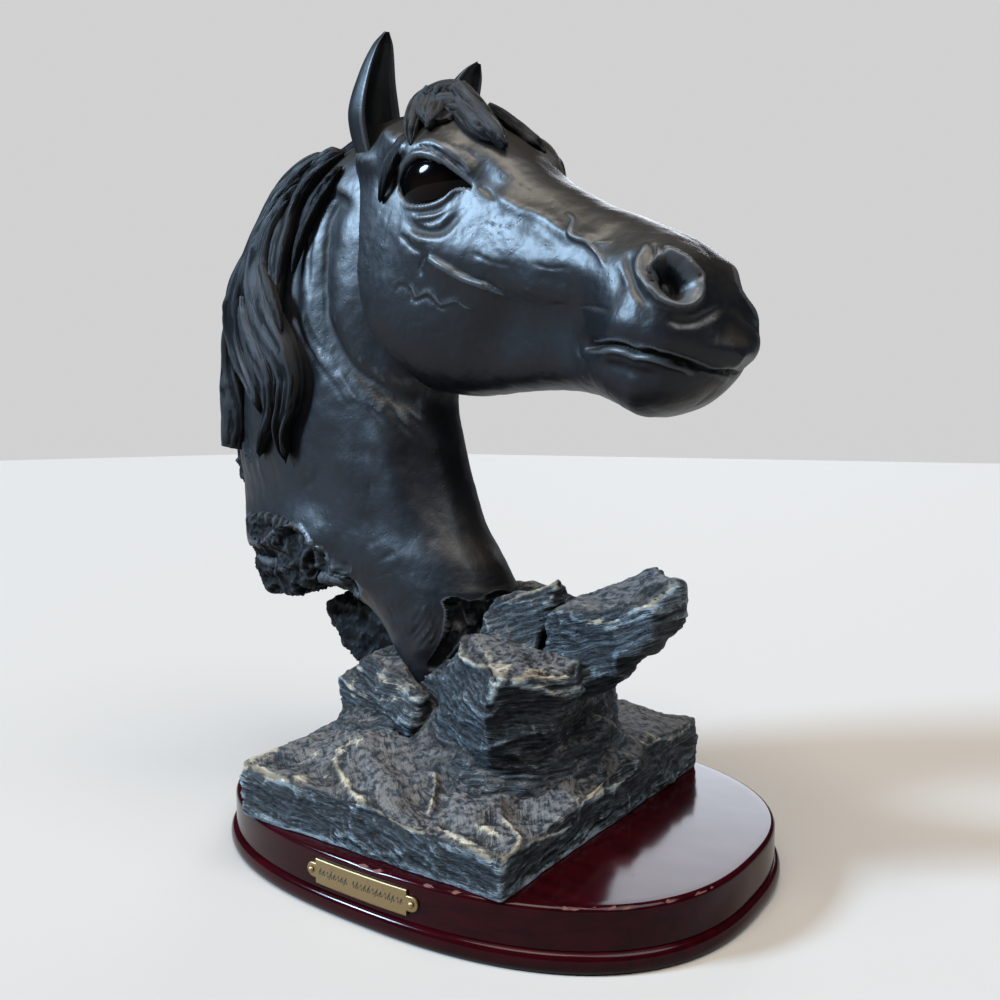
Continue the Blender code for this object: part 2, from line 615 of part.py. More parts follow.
def make_plate(material):
    """The name plate: a thin sheet bent to the plinth's wall."""
    lobe = PLATE_HEIGHT / 2 - PLATE_NOTCH
    half = PLATE_LENGTH / 2
    ends = [half - lobe * (1 - math.cos(t)) for t in np.linspace(0.35, math.pi / 2, 5)]
    step = half - lobe - PLATE_NOTCH
    side = sorted(ends + [step + 1e-4, step])
    inner = list(np.linspace(-step, step, 9)[1:-1])
    x = np.array([-value for value in reversed(side)] + inner + side)
    half_height = plate_half_height(x)
    upper = PLATE_CENTRE_HEIGHT + half_height
    lower = PLATE_CENTRE_HEIGHT - half_height
    loop_back = [wall_place(x + PLATE_SHIFT_X, TOUCH_GAP, z) for z in (lower, upper)]
    loop_front = [wall_place(x + PLATE_SHIFT_X, TOUCH_GAP + PLATE_THICKNESS, z) for z in (lower, upper)]
    rings = [
        np.array([loop_back[0][k], loop_back[1][k], loop_front[1][k], loop_front[0][k]]) for k in range(len(x))
    ]
    bm = bmesh.new()
    face_outwards(bm, add_rings(bm, rings))
    mesh = bpy.data.meshes.new("name_plate")
    bm.to_mesh(mesh)
    bm.free()
    return add_object("name_plate", mesh, material)


def make_pins(material):
    """A domed pin head at each end of the plate."""
    made = []
    for name, side in (("plate_pin_left", -1), ("plate_pin_right", 1)):
        x = PLATE_SHIFT_X + side * (PLATE_LENGTH / 2 - PIN_INSET)
        middle = wall_place(x, TOUCH_GAP * 2 + PLATE_THICKNESS, PLATE_CENTRE_HEIGHT)
        rings = []
        for turn in np.linspace(0, math.pi / 2 * 0.96, 5):
            angle = np.linspace(0, 2 * math.pi, 16, endpoint=False)
            radius = PIN_RADIUS * math.cos(turn)
            rise = PIN_RADIUS * 0.7 * math.sin(turn)
            ring = [(radius * math.cos(a), -rise, radius * math.sin(a)) for a in angle]
            rings.append(np.array(ring) + middle)
        bm = bmesh.new()
        face_outwards(bm, add_rings(bm, rings))
        mesh = bpy.data.meshes.new(name)
        bm.to_mesh(mesh)
        bm.free()
        mesh.shade_smooth()
        made.append(add_object(name, mesh, material))
    return made


def main():
    for old in list(bpy.data.objects):
        bpy.data.objects.remove(old, do_unlink=True)
    make_casting(add_material("black_resin", (0.035, 0.042, 0.055), 0.42, 0.0))
    make_plinth(add_material("cherry_lacquer", (0.075, 0.012, 0.014), 0.22, 0.0))
    make_plate(add_material("brass_plate", (0.78, 0.6, 0.3), 0.35, 1.0))
    make_pins(add_material("brass_pins", (0.7, 0.52, 0.24), 0.3, 1.0))


main()
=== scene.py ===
"""The looks of a cast horse head on broken rocks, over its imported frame.

Every form is drawn in figure millimetres: +X the way the horse faces, +Y its left, heights counted from the
plinth's top. The frame gives the size of one drawn millimetre. Fine carving is drawn as marks in the
photograph's own pixels and is pushed into the surfaces that the photograph's camera sees there.
"""

from __future__ import annotations

import itertools
import logging
import math
from dataclasses import dataclass
from enum import Enum

import bmesh
import bpy
import numpy as np
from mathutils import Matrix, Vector
from mathutils.kdtree import KDTree

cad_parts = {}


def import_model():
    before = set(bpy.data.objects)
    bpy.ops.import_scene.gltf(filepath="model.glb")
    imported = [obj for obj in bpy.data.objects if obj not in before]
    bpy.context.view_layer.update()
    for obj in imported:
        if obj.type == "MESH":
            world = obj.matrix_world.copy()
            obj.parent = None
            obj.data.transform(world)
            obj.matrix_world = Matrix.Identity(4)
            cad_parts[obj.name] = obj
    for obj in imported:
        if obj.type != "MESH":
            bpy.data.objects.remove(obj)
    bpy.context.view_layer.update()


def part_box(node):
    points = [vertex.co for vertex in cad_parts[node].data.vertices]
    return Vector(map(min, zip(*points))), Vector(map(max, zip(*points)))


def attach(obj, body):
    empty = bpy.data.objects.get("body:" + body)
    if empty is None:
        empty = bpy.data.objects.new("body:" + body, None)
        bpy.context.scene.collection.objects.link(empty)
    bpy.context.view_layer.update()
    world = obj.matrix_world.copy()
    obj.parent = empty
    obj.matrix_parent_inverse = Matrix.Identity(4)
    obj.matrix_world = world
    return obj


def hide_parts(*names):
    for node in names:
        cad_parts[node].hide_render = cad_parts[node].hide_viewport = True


LOG = logging.getLogger("horse_head")
CASTING = "horse_head_casting"
DRAWN_HEIGHT = 365.3  # millimetres that the drawn casting rises over the plinth

HEAD_ORIGIN = np.array([-41.0, 6.0, 275.0])  # on the head's axis, below the poll
HEAD_YAW = math.radians(-10.0)
HEAD_SLOPE = math.radians(32.5)
FORWARD = np.array([math.cos(HEAD_YAW), math.sin(HEAD_YAW), 0.0])
FAR_SIDE = np.array([-math.sin(HEAD_YAW), math.cos(HEAD_YAW), 0.0])
UP = np.array([0.0, 0.0, 1.0])

RING_STEPS = 1441  # fine points round a ring before they are spread
HAND_WAVER = 13.0  # pixels over which the modeller's hand wavers
HAND_SLIP = 1.1  # pixels by which it slips
HAND_PRESSURE = 0.5  # share by which its pressure changes
BROAD_STROKE = 4.2  # pixels; wider strokes are laid on evenly

Array = np.ndarray
Material = bpy.types.Material
Mesh = bpy.types.Mesh
Object = bpy.types.Object
Numbers = tuple[float, ...]
Pair = tuple[float, float]
Triple = tuple[float, float, float]
Line = tuple[Pair, ...]
Corners = tuple[Triple, ...]


def smooth_curve(knots: Array, values: Array, at: Array) -> Array:
    """A monotone cubic through the knots: each span is a Hermite curve whose end slopes are harmonic means.

    Args:
        knots: Rising places of the knots.
        values: The curve's value at each knot.
        at: Where to read the curve.

    Returns:
        The curve's values, flat at its own peaks so that it never overshoots them.
    """
    knots, values = np.asarray(knots, float), np.asarray(values, float)
    steps = np.diff(knots)
    slopes = np.diff(values) / steps
    tangents = np.zeros_like(values)
    same_way = slopes[:-1] * slopes[1:] > 0
    weight_a = 2 * steps[1:] + steps[:-1]
    weight_b = steps[1:] + 2 * steps[:-1]
    with np.errstate(divide="ignore", invalid="ignore"):
        harmonic = (weight_a + weight_b) / (weight_a / slopes[:-1] + weight_b / slopes[1:])
    tangents[1:-1] = np.where(same_way, harmonic, 0.0)
    tangents[0], tangents[-1] = slopes[0], slopes[-1]
    at = np.clip(np.asarray(at, float), knots[0], knots[-1])
    span = np.clip(np.searchsorted(knots, at, side="right") - 1, 0, len(steps) - 1)
    width = steps[span]
    t = (at - knots[span]) / width
    return (
        (1 + 2 * t) * (1 - t) ** 2 * values[span]
        + t * (1 - t) ** 2 * width * tangents[span]
        + t * t * (3 - 2 * t) * values[span + 1]
        + t * t * (t - 1) * width * tangents[span + 1]
    )


def rounded_line(points: Array, each: int) -> Array:
    """A smooth line through points of any dimension, with each span cut into equal steps of its parameter.

    Args:
        points: One row for each point.
        each: Steps in each span.

    Returns:
        The points of the smooth line, one row each.
    """
    points = np.asarray(points, float)
    if len(points) < 3:
        return points
    padded = np.vstack([2 * points[0] - points[1], points, 2 * points[-1] - points[-2]])
    t = np.linspace(0, 1, each, endpoint=False)[:, None]
    spans = []
    for a, b, c, d in zip(padded[:-3], padded[1:-2], padded[2:-1], padded[3:]):
        square, cube = 2 * a - 5 * b + 4 * c - d, 3 * b - a - 3 * c + d
        spans.append(0.5 * (2 * b + (c - a) * t + square * t**2 + cube * t**3))
    return np.vstack([*spans, points[-1:]])


def unit_vectors(vectors: Array) -> Array:
    """The vectors at length one."""
    return vectors / np.maximum(np.linalg.norm(vectors, axis=-1, keepdims=True), 1e-12)


def smooth_step(low: float, high: float, values: Array) -> Array:
    """0 below low, 1 above high and a smooth cubic between."""
    t = np.clip((values - low) / (high - low), 0, 1)
    return t * t * (3 - 2 * t)


def lattice_value(corner: Array, seed: int) -> Array:
    """A fixed number from -1 to 1 for each whole-number corner, from mixed products of its coordinates.

    Args:
        corner: Whole numbers, three to a corner.
        seed: Which noise.

    Returns:
        One number for each corner.
    """
    x, y, z = np.moveaxis(corner, -1, 0)
    mixed = x * 374761393 + y * 668265263 + z * 1442695041 + seed * 974634777
    mixed = (mixed ^ (mixed >> 13)) * 1274126177 & 0xFFFFFFFF
    return ((mixed ^ (mixed >> 16)) & 0xFFFF) / 32767.5 - 1.0


def noise(points: Array, seed: int, octaves: int = 1, ridged: bool = False) -> Array:
    """Lattice noise: values at whole-number corners, blended by a smooth cubic, summed over octaves.

    Args:
        points: Places, one lattice cell to a unit.
        seed: Which noise.
        octaves: How many layers, each twice as fine and half as strong.
        ridged: True folds each layer at zero, which gives sharp ridges.

    Returns:
        One value for each point, about -1 to 1.
    """
    total = np.zeros(points.shape[:-1])
    strength, reach = 1.0, 0.0
    for layer in range(octaves):
        scaled = points * 2.0**layer + layer * 17.31
        cell = np.floor(scaled).astype(np.int64)
        part = scaled - cell
        part = part * part * (3 - 2 * part)
        value = np.zeros_like(total)
        for corner in itertools.product((0, 1), repeat=3):
            weight = np.prod(np.where(corner, part, 1 - part), axis=-1)
            value += weight * lattice_value(cell + np.array(corner), seed + layer)
        total += strength * (1 - 2 * np.abs(value) if ridged else value)
        reach += strength
        strength *= 0.5
    return total / reach


def crumpled(points: Array, seed: int) -> Array:
    """Lumps with sharp valleys: the sizes of four layers of noise, each twice as fine, less their mean.

    Args:
        points: Places, one lattice cell to a unit.
        seed: Which noise.

    Returns:
        One value for each point.
    """
    total = np.zeros(points.shape[:-1])
    for layer in range(4):
        total += np.abs(noise(points * 2.0**layer + 7.7 * layer, seed + layer)) * 0.55**layer
    return total - 0.55


def cell_distance(points: Array, seed: int) -> Array:
    """Distance to the nearest of one jittered seed point in each lattice cell.

    Args:
        points: Places, one lattice cell to a unit.
        seed: Which set of seed points.

    Returns:
        One distance for each point.
    """
    cell = np.floor(points).astype(np.int64)
    nearest = np.full(points.shape[:-1], 9.0)
    for corner in itertools.product((-1, 0, 1), repeat=3):
        near = cell + np.array(corner)
        jitter = np.stack([lattice_value(near, seed + k) for k in range(3)], axis=-1)
        nearest = np.minimum(nearest, np.linalg.norm(near + 0.5 + 0.45 * jitter - points, axis=-1))
    return nearest


def joined(*parts: Array | float) -> Array:
    """Coordinates put side by side along a new last axis, each stretched to one shape."""
    return np.stack(np.broadcast_arrays(*parts), axis=-1)


def round_angles(count: int) -> Array:
    """A row of even angles once round, without the first one again."""
    return np.linspace(0, 2 * math.pi, count, endpoint=False)[None, :]


def powered(wave: Array, power: float | Array) -> Array:
    """A sine or cosine to a power, its sign kept; a power under 1 makes a round ring squarer."""
    return np.sign(wave) * np.abs(wave) ** power


@dataclass(frozen=True)
class PhotoCamera:
    """The photograph's camera, in degrees and figure millimetres over the floor."""

    azimuth: float = 35.3
    distance: float = 457.0
    height: float = 200.0
    pitch: float = 4.2
    yaw: float = -0.38
    focal: float = 953.0
    frame: float = 1000.0
    plinth_top: float = 25.3  # the figure's zero height over the floor

    @property
    def place(self) -> Array:
        """The camera's place in figure millimetres."""
        turn = math.radians(self.azimuth)
        rise = self.height - self.plinth_top
        return np.array([math.sin(turn) * self.distance, -math.cos(turn) * self.distance, rise])

    @property
    def axes(self) -> tuple[Array, Array, Array]:
        """Unit vectors to the picture's right, up and away from the camera."""
        turn, drop = math.radians(self.azimuth + self.yaw), math.radians(self.pitch)
        level = math.cos(drop)
        ahead = np.array([-math.sin(turn) * level, math.cos(turn) * level, -math.sin(drop)])
        right = np.array([math.cos(turn), math.sin(turn), 0.0])
        return right, np.cross(right, ahead), ahead

    def project(self, points: Array) -> tuple[Array, Array]:
        """Where points fall in the photograph: offset over depth, times the focal length.

        Args:
            points: Places in figure millimetres.

        Returns:
            Pixels, and the depth of each point in millimetres.
        """
        right, up, ahead = self.axes
        offset = points - self.place
        depth = offset @ ahead
        across = self.frame / 2 + self.focal * (offset @ right) / depth
        down = self.frame / 2 - self.focal * (offset @ up) / depth
        return np.stack([across, down], axis=-1), depth

    def at_depth(self, pixels: Array, depth: Array) -> Array:
        """The points of figure space that fall on pixels at given depths.

        Args:
            pixels: Places in the photograph.
            depth: Millimetres ahead of the camera.

        Returns:
            Points in figure millimetres.
        """
        right, up, ahead = self.axes
        across = (pixels[..., 0:1] - self.frame / 2) / self.focal
        rise = (self.frame / 2 - pixels[..., 1:2]) / self.focal
        return self.place + depth[..., None] * (ahead + across * right + rise * up)

    def facing(self, points: Array, normals: Array) -> Array:
        """How squarely each point of a surface looks at the camera, from -1 to 1."""
        return np.sum(unit_vectors(self.place - points) * normals, axis=-1)


PHOTO = PhotoCamera()


class Cut(Enum):
    """The ways in which a mark lifts or sinks the surface beside its line."""

    ROLL = "rounded ridge or hollow"
    SHARP = "crease with a sharp bottom, or a thin fin"
    LEDGE = "sheer on the line, fading away on the side to its left"
    DISH = "flat-bottomed hollow inside a closed line"


@dataclass(frozen=True)
class Mark:
    """One stroke of the modelling tool, drawn in the photograph's pixels.

    The lift is in millimetres out of the surface; below zero it goes in. Open lines die away at their ends
    over the share of their length given by fade.
    """

    cut: Cut
    width: float
    lift: float
    line: Line
    fade: float = 0.2

    def depth_at(self, pixels: Array) -> Array:
        """The mark's lift at each pixel place.

        ROLL is lift times exp(-(distance / width) squared); SHARP is lift times exp(-distance / width);
        LEDGE rises within a pixel of the line on its left and fades by exp(-distance / width); DISH rises
        from nothing at its closed line to the whole lift one width inside it.

        Args:
            pixels: Places in the photograph.

        Returns:
            Lift in millimetres.
        """
        path = rounded_line(self.line, 4)
        reach = self.width * 3.2 + 2
        inside = np.all((pixels > path.min(axis=0) - reach) & (pixels < path.max(axis=0) + reach), axis=-1)
        result = np.zeros(len(pixels))
        if not inside.any():
            return result
        distance, left, share = distance_to_line(pixels[inside], path)
        ends = np.minimum(share, 1 - share) / max(self.fade, 1e-3)
        taper = smooth_step(0, 1, ends) if self.cut is not Cut.DISH and self.fade > 0 else 1.0
        if self.cut is Cut.ROLL:
            lift = np.exp(-((distance / self.width) ** 2))
        elif self.cut is Cut.SHARP:
            lift = np.exp(-distance / self.width)
        elif self.cut is Cut.LEDGE:
            signed = np.where(left, distance, -distance)
            lift = smooth_step(-0.9, 0.9, signed) * np.exp(-np.maximum(signed, 0) / self.width)
        else:
            lift = smooth_step(0, 1, np.where(inside_ring(pixels[inside], path), distance, 0) / self.width)
        result[inside] = self.lift * taper * lift
        return result


def alike(cut: Cut, width: float, lift: float, *lines: Line) -> tuple[Mark, ...]:
    """Marks that differ only in their lines."""
    return tuple(Mark(cut, width, lift, line) for line in lines)


def distance_to_line(points: Array, path: Array) -> tuple[Array, Array, Array]:
    """Distances from flat points to a polyline.

    Args:
        points: Places, two numbers each.
        path: The polyline's corners in order.

    Returns:
        The distance, whether the point is to the left of the line as it is walked with the second axis
        down, and the share of the line's length at its nearest place.
    """
    start, run = path[:-1], np.diff(path, axis=0)
    length = np.linalg.norm(run, axis=1)
    keep = length > 1e-9
    start, run, length = start[keep], run[keep], length[keep]
    offset = points[:, None, :] - start
    t = np.clip(np.sum(offset * run, axis=-1) / length**2, 0, 1)
    rest = offset - t[..., None] * run
    squared = np.sum(rest**2, axis=-1)
    nearest = np.argmin(squared, axis=1)
    row = np.arange(len(points))
    walked = np.concatenate([[0.0], np.cumsum(length)])
    share = (walked[nearest] + t[row, nearest] * length[nearest]) / walked[-1]
    side = run[nearest, 0] * offset[row, nearest, 1] - run[nearest, 1] * offset[row, nearest, 0]
    return np.sqrt(squared[row, nearest]), side < 0, share


def inside_ring(points: Array, ring: Array) -> Array:
    """Whether each flat point lies inside a closed line, by counting the edges to its right.

    Args:
        points: Places, two numbers each.
        ring: The line's corners in order.

    Returns:
        True for each point inside.
    """
    count = np.zeros(len(points), int)
    for (x0, y0), (x1, y1) in zip(ring, np.roll(ring, -1, axis=0)):
        crosses = (points[:, 1] < y0) != (points[:, 1] < y1)
        if crosses.any():
            at = x0 + (points[:, 1] - y0) * (x1 - x0) / (y1 - y0 if y1 != y0 else 1e-9)
            count += crosses & (points[:, 0] < at)
    return count % 2 == 1


def carved(points: Array, normals: Array, seen: Array, seen_normals: Array,
           marks: tuple[Mark, ...]) -> Array:
    """Pushes points along their normals by the marks that the camera sees there.

    Args:
        points: The surface.
        normals: Its outward normals.
        seen: The places whose pixels the marks are read at; the far side gives its mirror image here.
        seen_normals: The normals there.
        marks: What to carve.

    Returns:
        The moved points, in the shape that they came in.
    """
    pixels = PHOTO.project(seen.reshape(-1, 3))[0]
    square = smooth_step(0.02, 0.25, PHOTO.facing(seen, seen_normals)).reshape(-1)
    flat = np.column_stack([pixels / HAND_WAVER, np.zeros(len(pixels))])
    drawn = pixels + HAND_SLIP * np.column_stack([noise(flat, 3, 2), noise(flat, 4, 2)])
    pressure = 1.0 + HAND_PRESSURE * noise(flat * 0.7, 5)
    lift = np.zeros(len(pixels))
    for mark in marks:
        lift += mark.depth_at(pixels) if mark.width > BROAD_STROKE else mark.depth_at(drawn) * pressure
    return points + (lift * square).reshape(points.shape[:-1])[..., None] * normals


def uneven_steps(start: float, stop: float, count: int, dense: tuple[Triple, ...]) -> Array:
    """Rising places from start to stop, closer together round some spots.

    Args:
        start: The first place.
        stop: The last place.
        count: How many places.
        dense: For each spot its place, its spread and how much denser it is.

    Returns:
        The places.
    """
    fine = np.linspace(start, stop, 2000)
    density = 1 + sum(extra * np.exp(-(((fine - spot) / spread) ** 2)) for spot, spread, extra in dense)
    walked = np.concatenate([[0], np.cumsum((density[1:] + density[:-1]) / 2)])
    return np.interp(np.linspace(0, walked[-1], count), walked, fine)


def spread_round(first: Array, second: Array, weight: Array, count: int) -> Array:
    """Closed rings whose points are spread evenly by weighted length.

    Args:
        first: One coordinate of each ring's fine points; the last point is the first again.
        second: The other coordinate.
        weight: How dense the points are at each fine step.
        count: Points round each ring.

    Returns:
        Rows of rings of two coordinates.
    """
    step = np.hypot(np.diff(first, axis=1), np.diff(second, axis=1))
    walked = np.hstack([np.zeros((len(step), 1)), np.cumsum(step * weight + 1e-4, axis=1)])
    share = np.linspace(0, 1, count, endpoint=False)
    return np.array([np.stack([np.interp(share * way[-1], way, row) for row in pair], axis=-1)
                     for way, *pair in zip(walked, first, second)])


def signed_volume(grid: Array) -> float:
    """Six times the volume inside a grid of rings, above zero where its quads face outwards.

    Args:
        grid: Closed rings of points.

    Returns:
        The volume with its sign.
    """
    following = np.roll(grid, -1, axis=1)
    a, b, c, d = grid[:-1], following[:-1], following[1:], grid[1:]
    return float(np.sum(np.cross(a, b) * c) + np.sum(np.cross(a, c) * d))


def outwards(grid: Array) -> Array:
    """Outward normals of a grid of closed rings: the cross product of its differences round and along.

    Args:
        grid: Closed rings of points.

    Returns:
        A unit vector for each point.
    """
    along = np.gradient(grid, axis=0)
    around = np.roll(grid, -1, axis=1) - np.roll(grid, 1, axis=1)
    return unit_vectors(np.cross(around, along)) * (1 if signed_volume(grid) > 0 else -1)


@dataclass(frozen=True)
class Figure:
    """Turns figure millimetres into the frame's metres."""

    base: float
    unit: float

    @classmethod
    def from_frame(cls) -> Figure:
        """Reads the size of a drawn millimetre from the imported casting."""
        low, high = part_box(CASTING)
        return cls(base=low.z, unit=(high.z - low.z) / DRAWN_HEIGHT)

    def metres(self, points: Array) -> Array:
        """Figure millimetres to metres in the frame."""
        return np.asarray(points) * self.unit + np.array([0.0, 0.0, self.base])

    def drawn(self, points: Array) -> Array:
        """Metres in the frame to figure millimetres."""
        return (points - np.array([0.0, 0.0, self.base])) / self.unit


IN_METRES = Figure(0.0, 1.0)  # for what is drawn in metres on the frame


def add_object(name: str, data: bpy.types.ID) -> Object:
    """An object of the scene round a mesh, light or camera.

    Args:
        name: The object's name.
        data: What it shows.

    Returns:
        The object.
    """
    made = bpy.data.objects.new(name, data)
    bpy.context.scene.collection.objects.link(made)
    return made


def mesh_object(name: str, points: Array, faces: Array, smooth_angle: float | None = None,
                ) -> Object:
    """Makes an object from points in metres and faces.

    Args:
        name: The object's name.
        points: Corners, one row each.
        faces: Three or four corner numbers in each row; a three-cornered face among quads repeats its last.
        smooth_angle: In degrees; edges sharper than it stay sharp. None smooths every edge.

    Returns:
        The object, linked to the scene.
    """
    faces = np.asarray(faces, np.int32)
    keep = np.ones(faces.shape, bool)
    if faces.shape[1] == 4:
        keep[:, 3] = faces[:, 3] != faces[:, 2]
    sizes = keep.sum(axis=1).astype(np.int32)
    mesh = bpy.data.meshes.new(name)
    mesh.vertices.add(len(points))
    mesh.vertices.foreach_set("co", np.asarray(points, np.float32).ravel())
    mesh.loops.add(int(sizes.sum()))
    mesh.loops.foreach_set("vertex_index", faces[keep])
    mesh.polygons.add(len(faces))
    mesh.polygons.foreach_set("loop_start", np.concatenate([[0], np.cumsum(sizes)[:-1]]).astype(np.int32))
    mesh.update(calc_edges=True)
    mesh.shade_smooth()
    if smooth_angle is not None:
        mesh.set_sharp_from_angle(angle=math.radians(smooth_angle))
    return add_object(name, mesh)


def ring_faces(rows: int, columns: int) -> Array:
    """Quads between neighbouring rings, each ring closed on itself, and fans from the two pole points.

    Args:
        rows: How many rings.
        columns: Points round each ring.

    Returns:
        Four corner numbers in each row; a fan's triangles name one corner twice.
    """
    row, column = np.meshgrid(np.arange(rows - 1), np.arange(columns), indexing="ij")
    following = (column + 1) % columns
    here, beyond = row * columns, (row + 1) * columns
    quads = joined(here + column, here + following, beyond + following, beyond + column).reshape(-1, 4)
    around = np.arange(columns)
    after = (around + 1) % columns
    pole = np.full(columns, rows * columns)
    last = (rows - 1) * columns
    first_fan = joined(pole, after, around, around)
    last_fan = joined(pole + 1, last + around, last + after, last + after)
    return np.vstack([quads, first_fan, last_fan])


def ring_object(name: str, grid: Array, figure: Figure, lengths: bool = False) -> Object:
    """Makes a closed object from rings; a pole point closes each end.

    Args:
        name: The object's name.
        grid: Rings of points in figure millimetres.
        figure: The scale.
        lengths: True adds a UV map with the share along in U and the share round in V.

    Returns:
        The object.
    """
    rows, columns = grid.shape[:2]
    poles = np.stack([grid[0].mean(axis=0), grid[-1].mean(axis=0)])
    points = figure.metres(np.vstack([grid.reshape(-1, 3), poles]))
    faces = ring_faces(rows, columns)
    if signed_volume(grid) < 0:
        faces = np.where(faces[:, 3:] == faces[:, 2:3], faces[:, [0, 2, 1, 1]], faces[:, ::-1])
    made = mesh_object(name, points, faces)
    if lengths:
        corners = np.empty(len(made.data.loops), np.int32)
        made.data.loops.foreach_get("vertex_index", corners)
        row = np.append(np.repeat(np.arange(rows) / (rows - 1), columns), [0, 1])[corners]
        around = np.append(np.tile(np.arange(columns) / columns, rows), [0.5, 0.5])[corners]
        starts = np.empty(len(made.data.polygons), np.int32)
        made.data.polygons.foreach_get("loop_start", starts)
        widest = np.maximum.reduceat(around, starts)
        sizes = np.diff(np.append(starts, len(around)))
        wraps = np.repeat(widest > 0.9, sizes) & (around < 0.1)
        layer = made.data.uv_layers.new(name="along")
        layer.data.foreach_set("uv", np.stack([row, around + wraps], axis=-1).astype(np.float32).ravel())
    return made


def mesh_arrays(mesh: Mesh) -> tuple[Array, Array, Array]:
    """A mesh's corner places, corner normals and edges.

    Args:
        mesh: The mesh to read.

    Returns:
        Points, unit vectors and pairs of corner numbers.
    """
    count = len(mesh.vertices)
    points, normals = np.empty(count * 3, np.float32), np.empty(count * 3, np.float32)
    edges = np.empty(len(mesh.edges) * 2, np.int32)
    mesh.vertices.foreach_get("co", points)
    mesh.vertex_normals.foreach_get("vector", normals)
    mesh.edges.foreach_get("vertices", edges)
    return points.reshape(-1, 3).astype(float), normals.reshape(-1, 3).astype(float), edges.reshape(-1, 2)


def neighbour_mean(values: Array, edges: Array) -> Array:
    """The mean of each corner's neighbours, for values of one or three numbers.

    Args:
        values: One row for each corner.
        edges: Pairs of corner numbers.

    Returns:
        The means, in the shape of the values.
    """
    count = np.bincount(edges.ravel(), minlength=len(values))
    total = np.zeros_like(values)
    columns = values.reshape(len(values), -1)
    sums = total.reshape(len(values), -1)
    for k in range(columns.shape[1]):
        sums[:, k] = np.bincount(edges[:, 0], columns[edges[:, 1], k], len(values))
        sums[:, k] += np.bincount(edges[:, 1], columns[edges[:, 0], k], len(values))
    return (sums / np.maximum(count, 1)[:, None]).reshape(values.shape)


def soft_normals(normals: Array, edges: Array, rounds: int) -> Array:
    """Normals evened out with their neighbours' over some rounds.

    Args:
        normals: A unit vector for each corner.
        edges: Pairs of corner numbers.
        rounds: How many times.

    Returns:
        Unit vectors.
    """
    for _ in range(rounds):
        normals = neighbour_mean(normals, edges)
    return unit_vectors(normals)


def set_attribute(mesh: Mesh, name: str, values: Array) -> None:
    """Stores one number for each corner of the mesh."""
    attribute = mesh.attributes.new(name=name, type="FLOAT", domain="POINT")
    attribute.data.foreach_set("value", values.astype(np.float32))


def mark_edges(made: Object, scale: float, rounds: int, soften: int = 1, name: str = "edge") -> None:
    """Stores how far each corner stands out of its smoothed surroundings, as an attribute.

    The surroundings are the mean of the neighbours, taken several times over; the distance to them along
    the normal is divided by the scale. Ridges come out above zero and hollows below.

    Args:
        made: The object.
        scale: The distance in metres that counts as one.
        rounds: How many times the surroundings are smoothed.
        soften: How many times the result is smoothed.
        name: The attribute's name.
    """
    points, normals, edges = mesh_arrays(made.data)
    around = points
    for _ in range(rounds):
        around = 0.5 * around + 0.5 * neighbour_mean(around, edges)
    stands = np.sum((points - around) * normals, axis=-1) / scale
    for _ in range(soften):
        stands = 0.5 * stands + 0.5 * neighbour_mean(stands, edges)
    set_attribute(made.data, name, np.clip(stands, -1, 1))


def mark_warm_top_light(made: Object, low: float, high: float) -> None:
    """Stores as an attribute how far each corner looks up, 0 at the low share and 1 at the high: where the
    finishes paint warm light from above.
    """
    normals = mesh_arrays(made.data)[1]
    set_attribute(made.data, "warm_top_light", smooth_step(low, high, normals[:, 2]))


ROLL, SHARP, LEDGE, DISH = Cut.ROLL, Cut.SHARP, Cut.LEDGE, Cut.DISH

EYE_OPENING: Line = (
    (399, 190), (400, 178), (404, 169), (410, 162), (419, 158), (430, 160), (441, 164), (453, 171),
    (465, 180), (474, 188), (462, 187), (455, 189), (445, 197), (431, 203), (416, 204), (407, 201),
    (402, 196), (399, 190),
)
NOSTRIL_RIM: Line = (
    (652, 243), (644, 250), (638, 262), (640, 274), (647, 285), (659, 298), (670, 303), (680, 306),
    (689, 305), (697, 299), (701, 290), (701, 283), (700, 275), (692, 265), (684, 258), (672, 253),
    (663, 249), (661, 245),
)
NOSTRIL_CUP: Line = (
    (650, 262), (656, 256), (668, 254), (680, 259), (690, 267), (697, 278), (697, 290), (689, 300),
    (676, 302), (663, 295), (652, 284), (648, 272), (650, 262),
)

# Broad forms of the head, carved first
HEAD_FORMS = (
    Mark(ROLL, 15, 4.0, ((352, 152), (370, 158), (392, 142)), 0),
    Mark(ROLL, 46, 2.0, ((368, 310), (400, 330)), 0),
    Mark(ROLL, 30, -3.0, ((408, 190), (455, 185)), 0),
    Mark(ROLL, 12, 2.8, ((400, 172), (406, 160), (420, 150), (445, 152), (470, 168), (484, 182)), 0.3),
    Mark(ROLL, 14, -1.5, ((380, 150), (390, 180)), 0),
    Mark(ROLL, 15, -2.2, ((468, 160), (490, 180)), 0),
    Mark(ROLL, 26, 3.2, ((440, 250), (480, 262), (530, 275)), 0),
    Mark(LEDGE, 17, 2.2, ((516, 296), (502, 292), (488, 284), (468, 277), (445, 264), (424, 253)), 0.3),
    Mark(ROLL, 10, 1.0, ((486, 282), (530, 290), (580, 300)), 0.3),
    Mark(ROLL, 34, -4.4, ((462, 316), (500, 324), (550, 330), (612, 340)), 0.35),
    Mark(ROLL, 9, 1.8, ((491, 184), (503, 199), (519, 208), (544, 217), (570, 235), (612, 241)), 0.2),
    Mark(ROLL, 24, 1.6, ((520, 240), (590, 268)), 0),
    Mark(ROLL, 36, 4.0, ((665, 275), (672, 279)), 0),
    Mark(ROLL, 24, 3.6, ((624, 326), (664, 342)), 0),
    Mark(ROLL, 18, 1.8, ((640, 395), (690, 395)), 0),
    Mark(ROLL, 9, -1.5, ((584, 347), (592, 347)), 0),
    Mark(ROLL, 24, -1.0, ((484, 340), (478, 356), (470, 378)), 0),
)

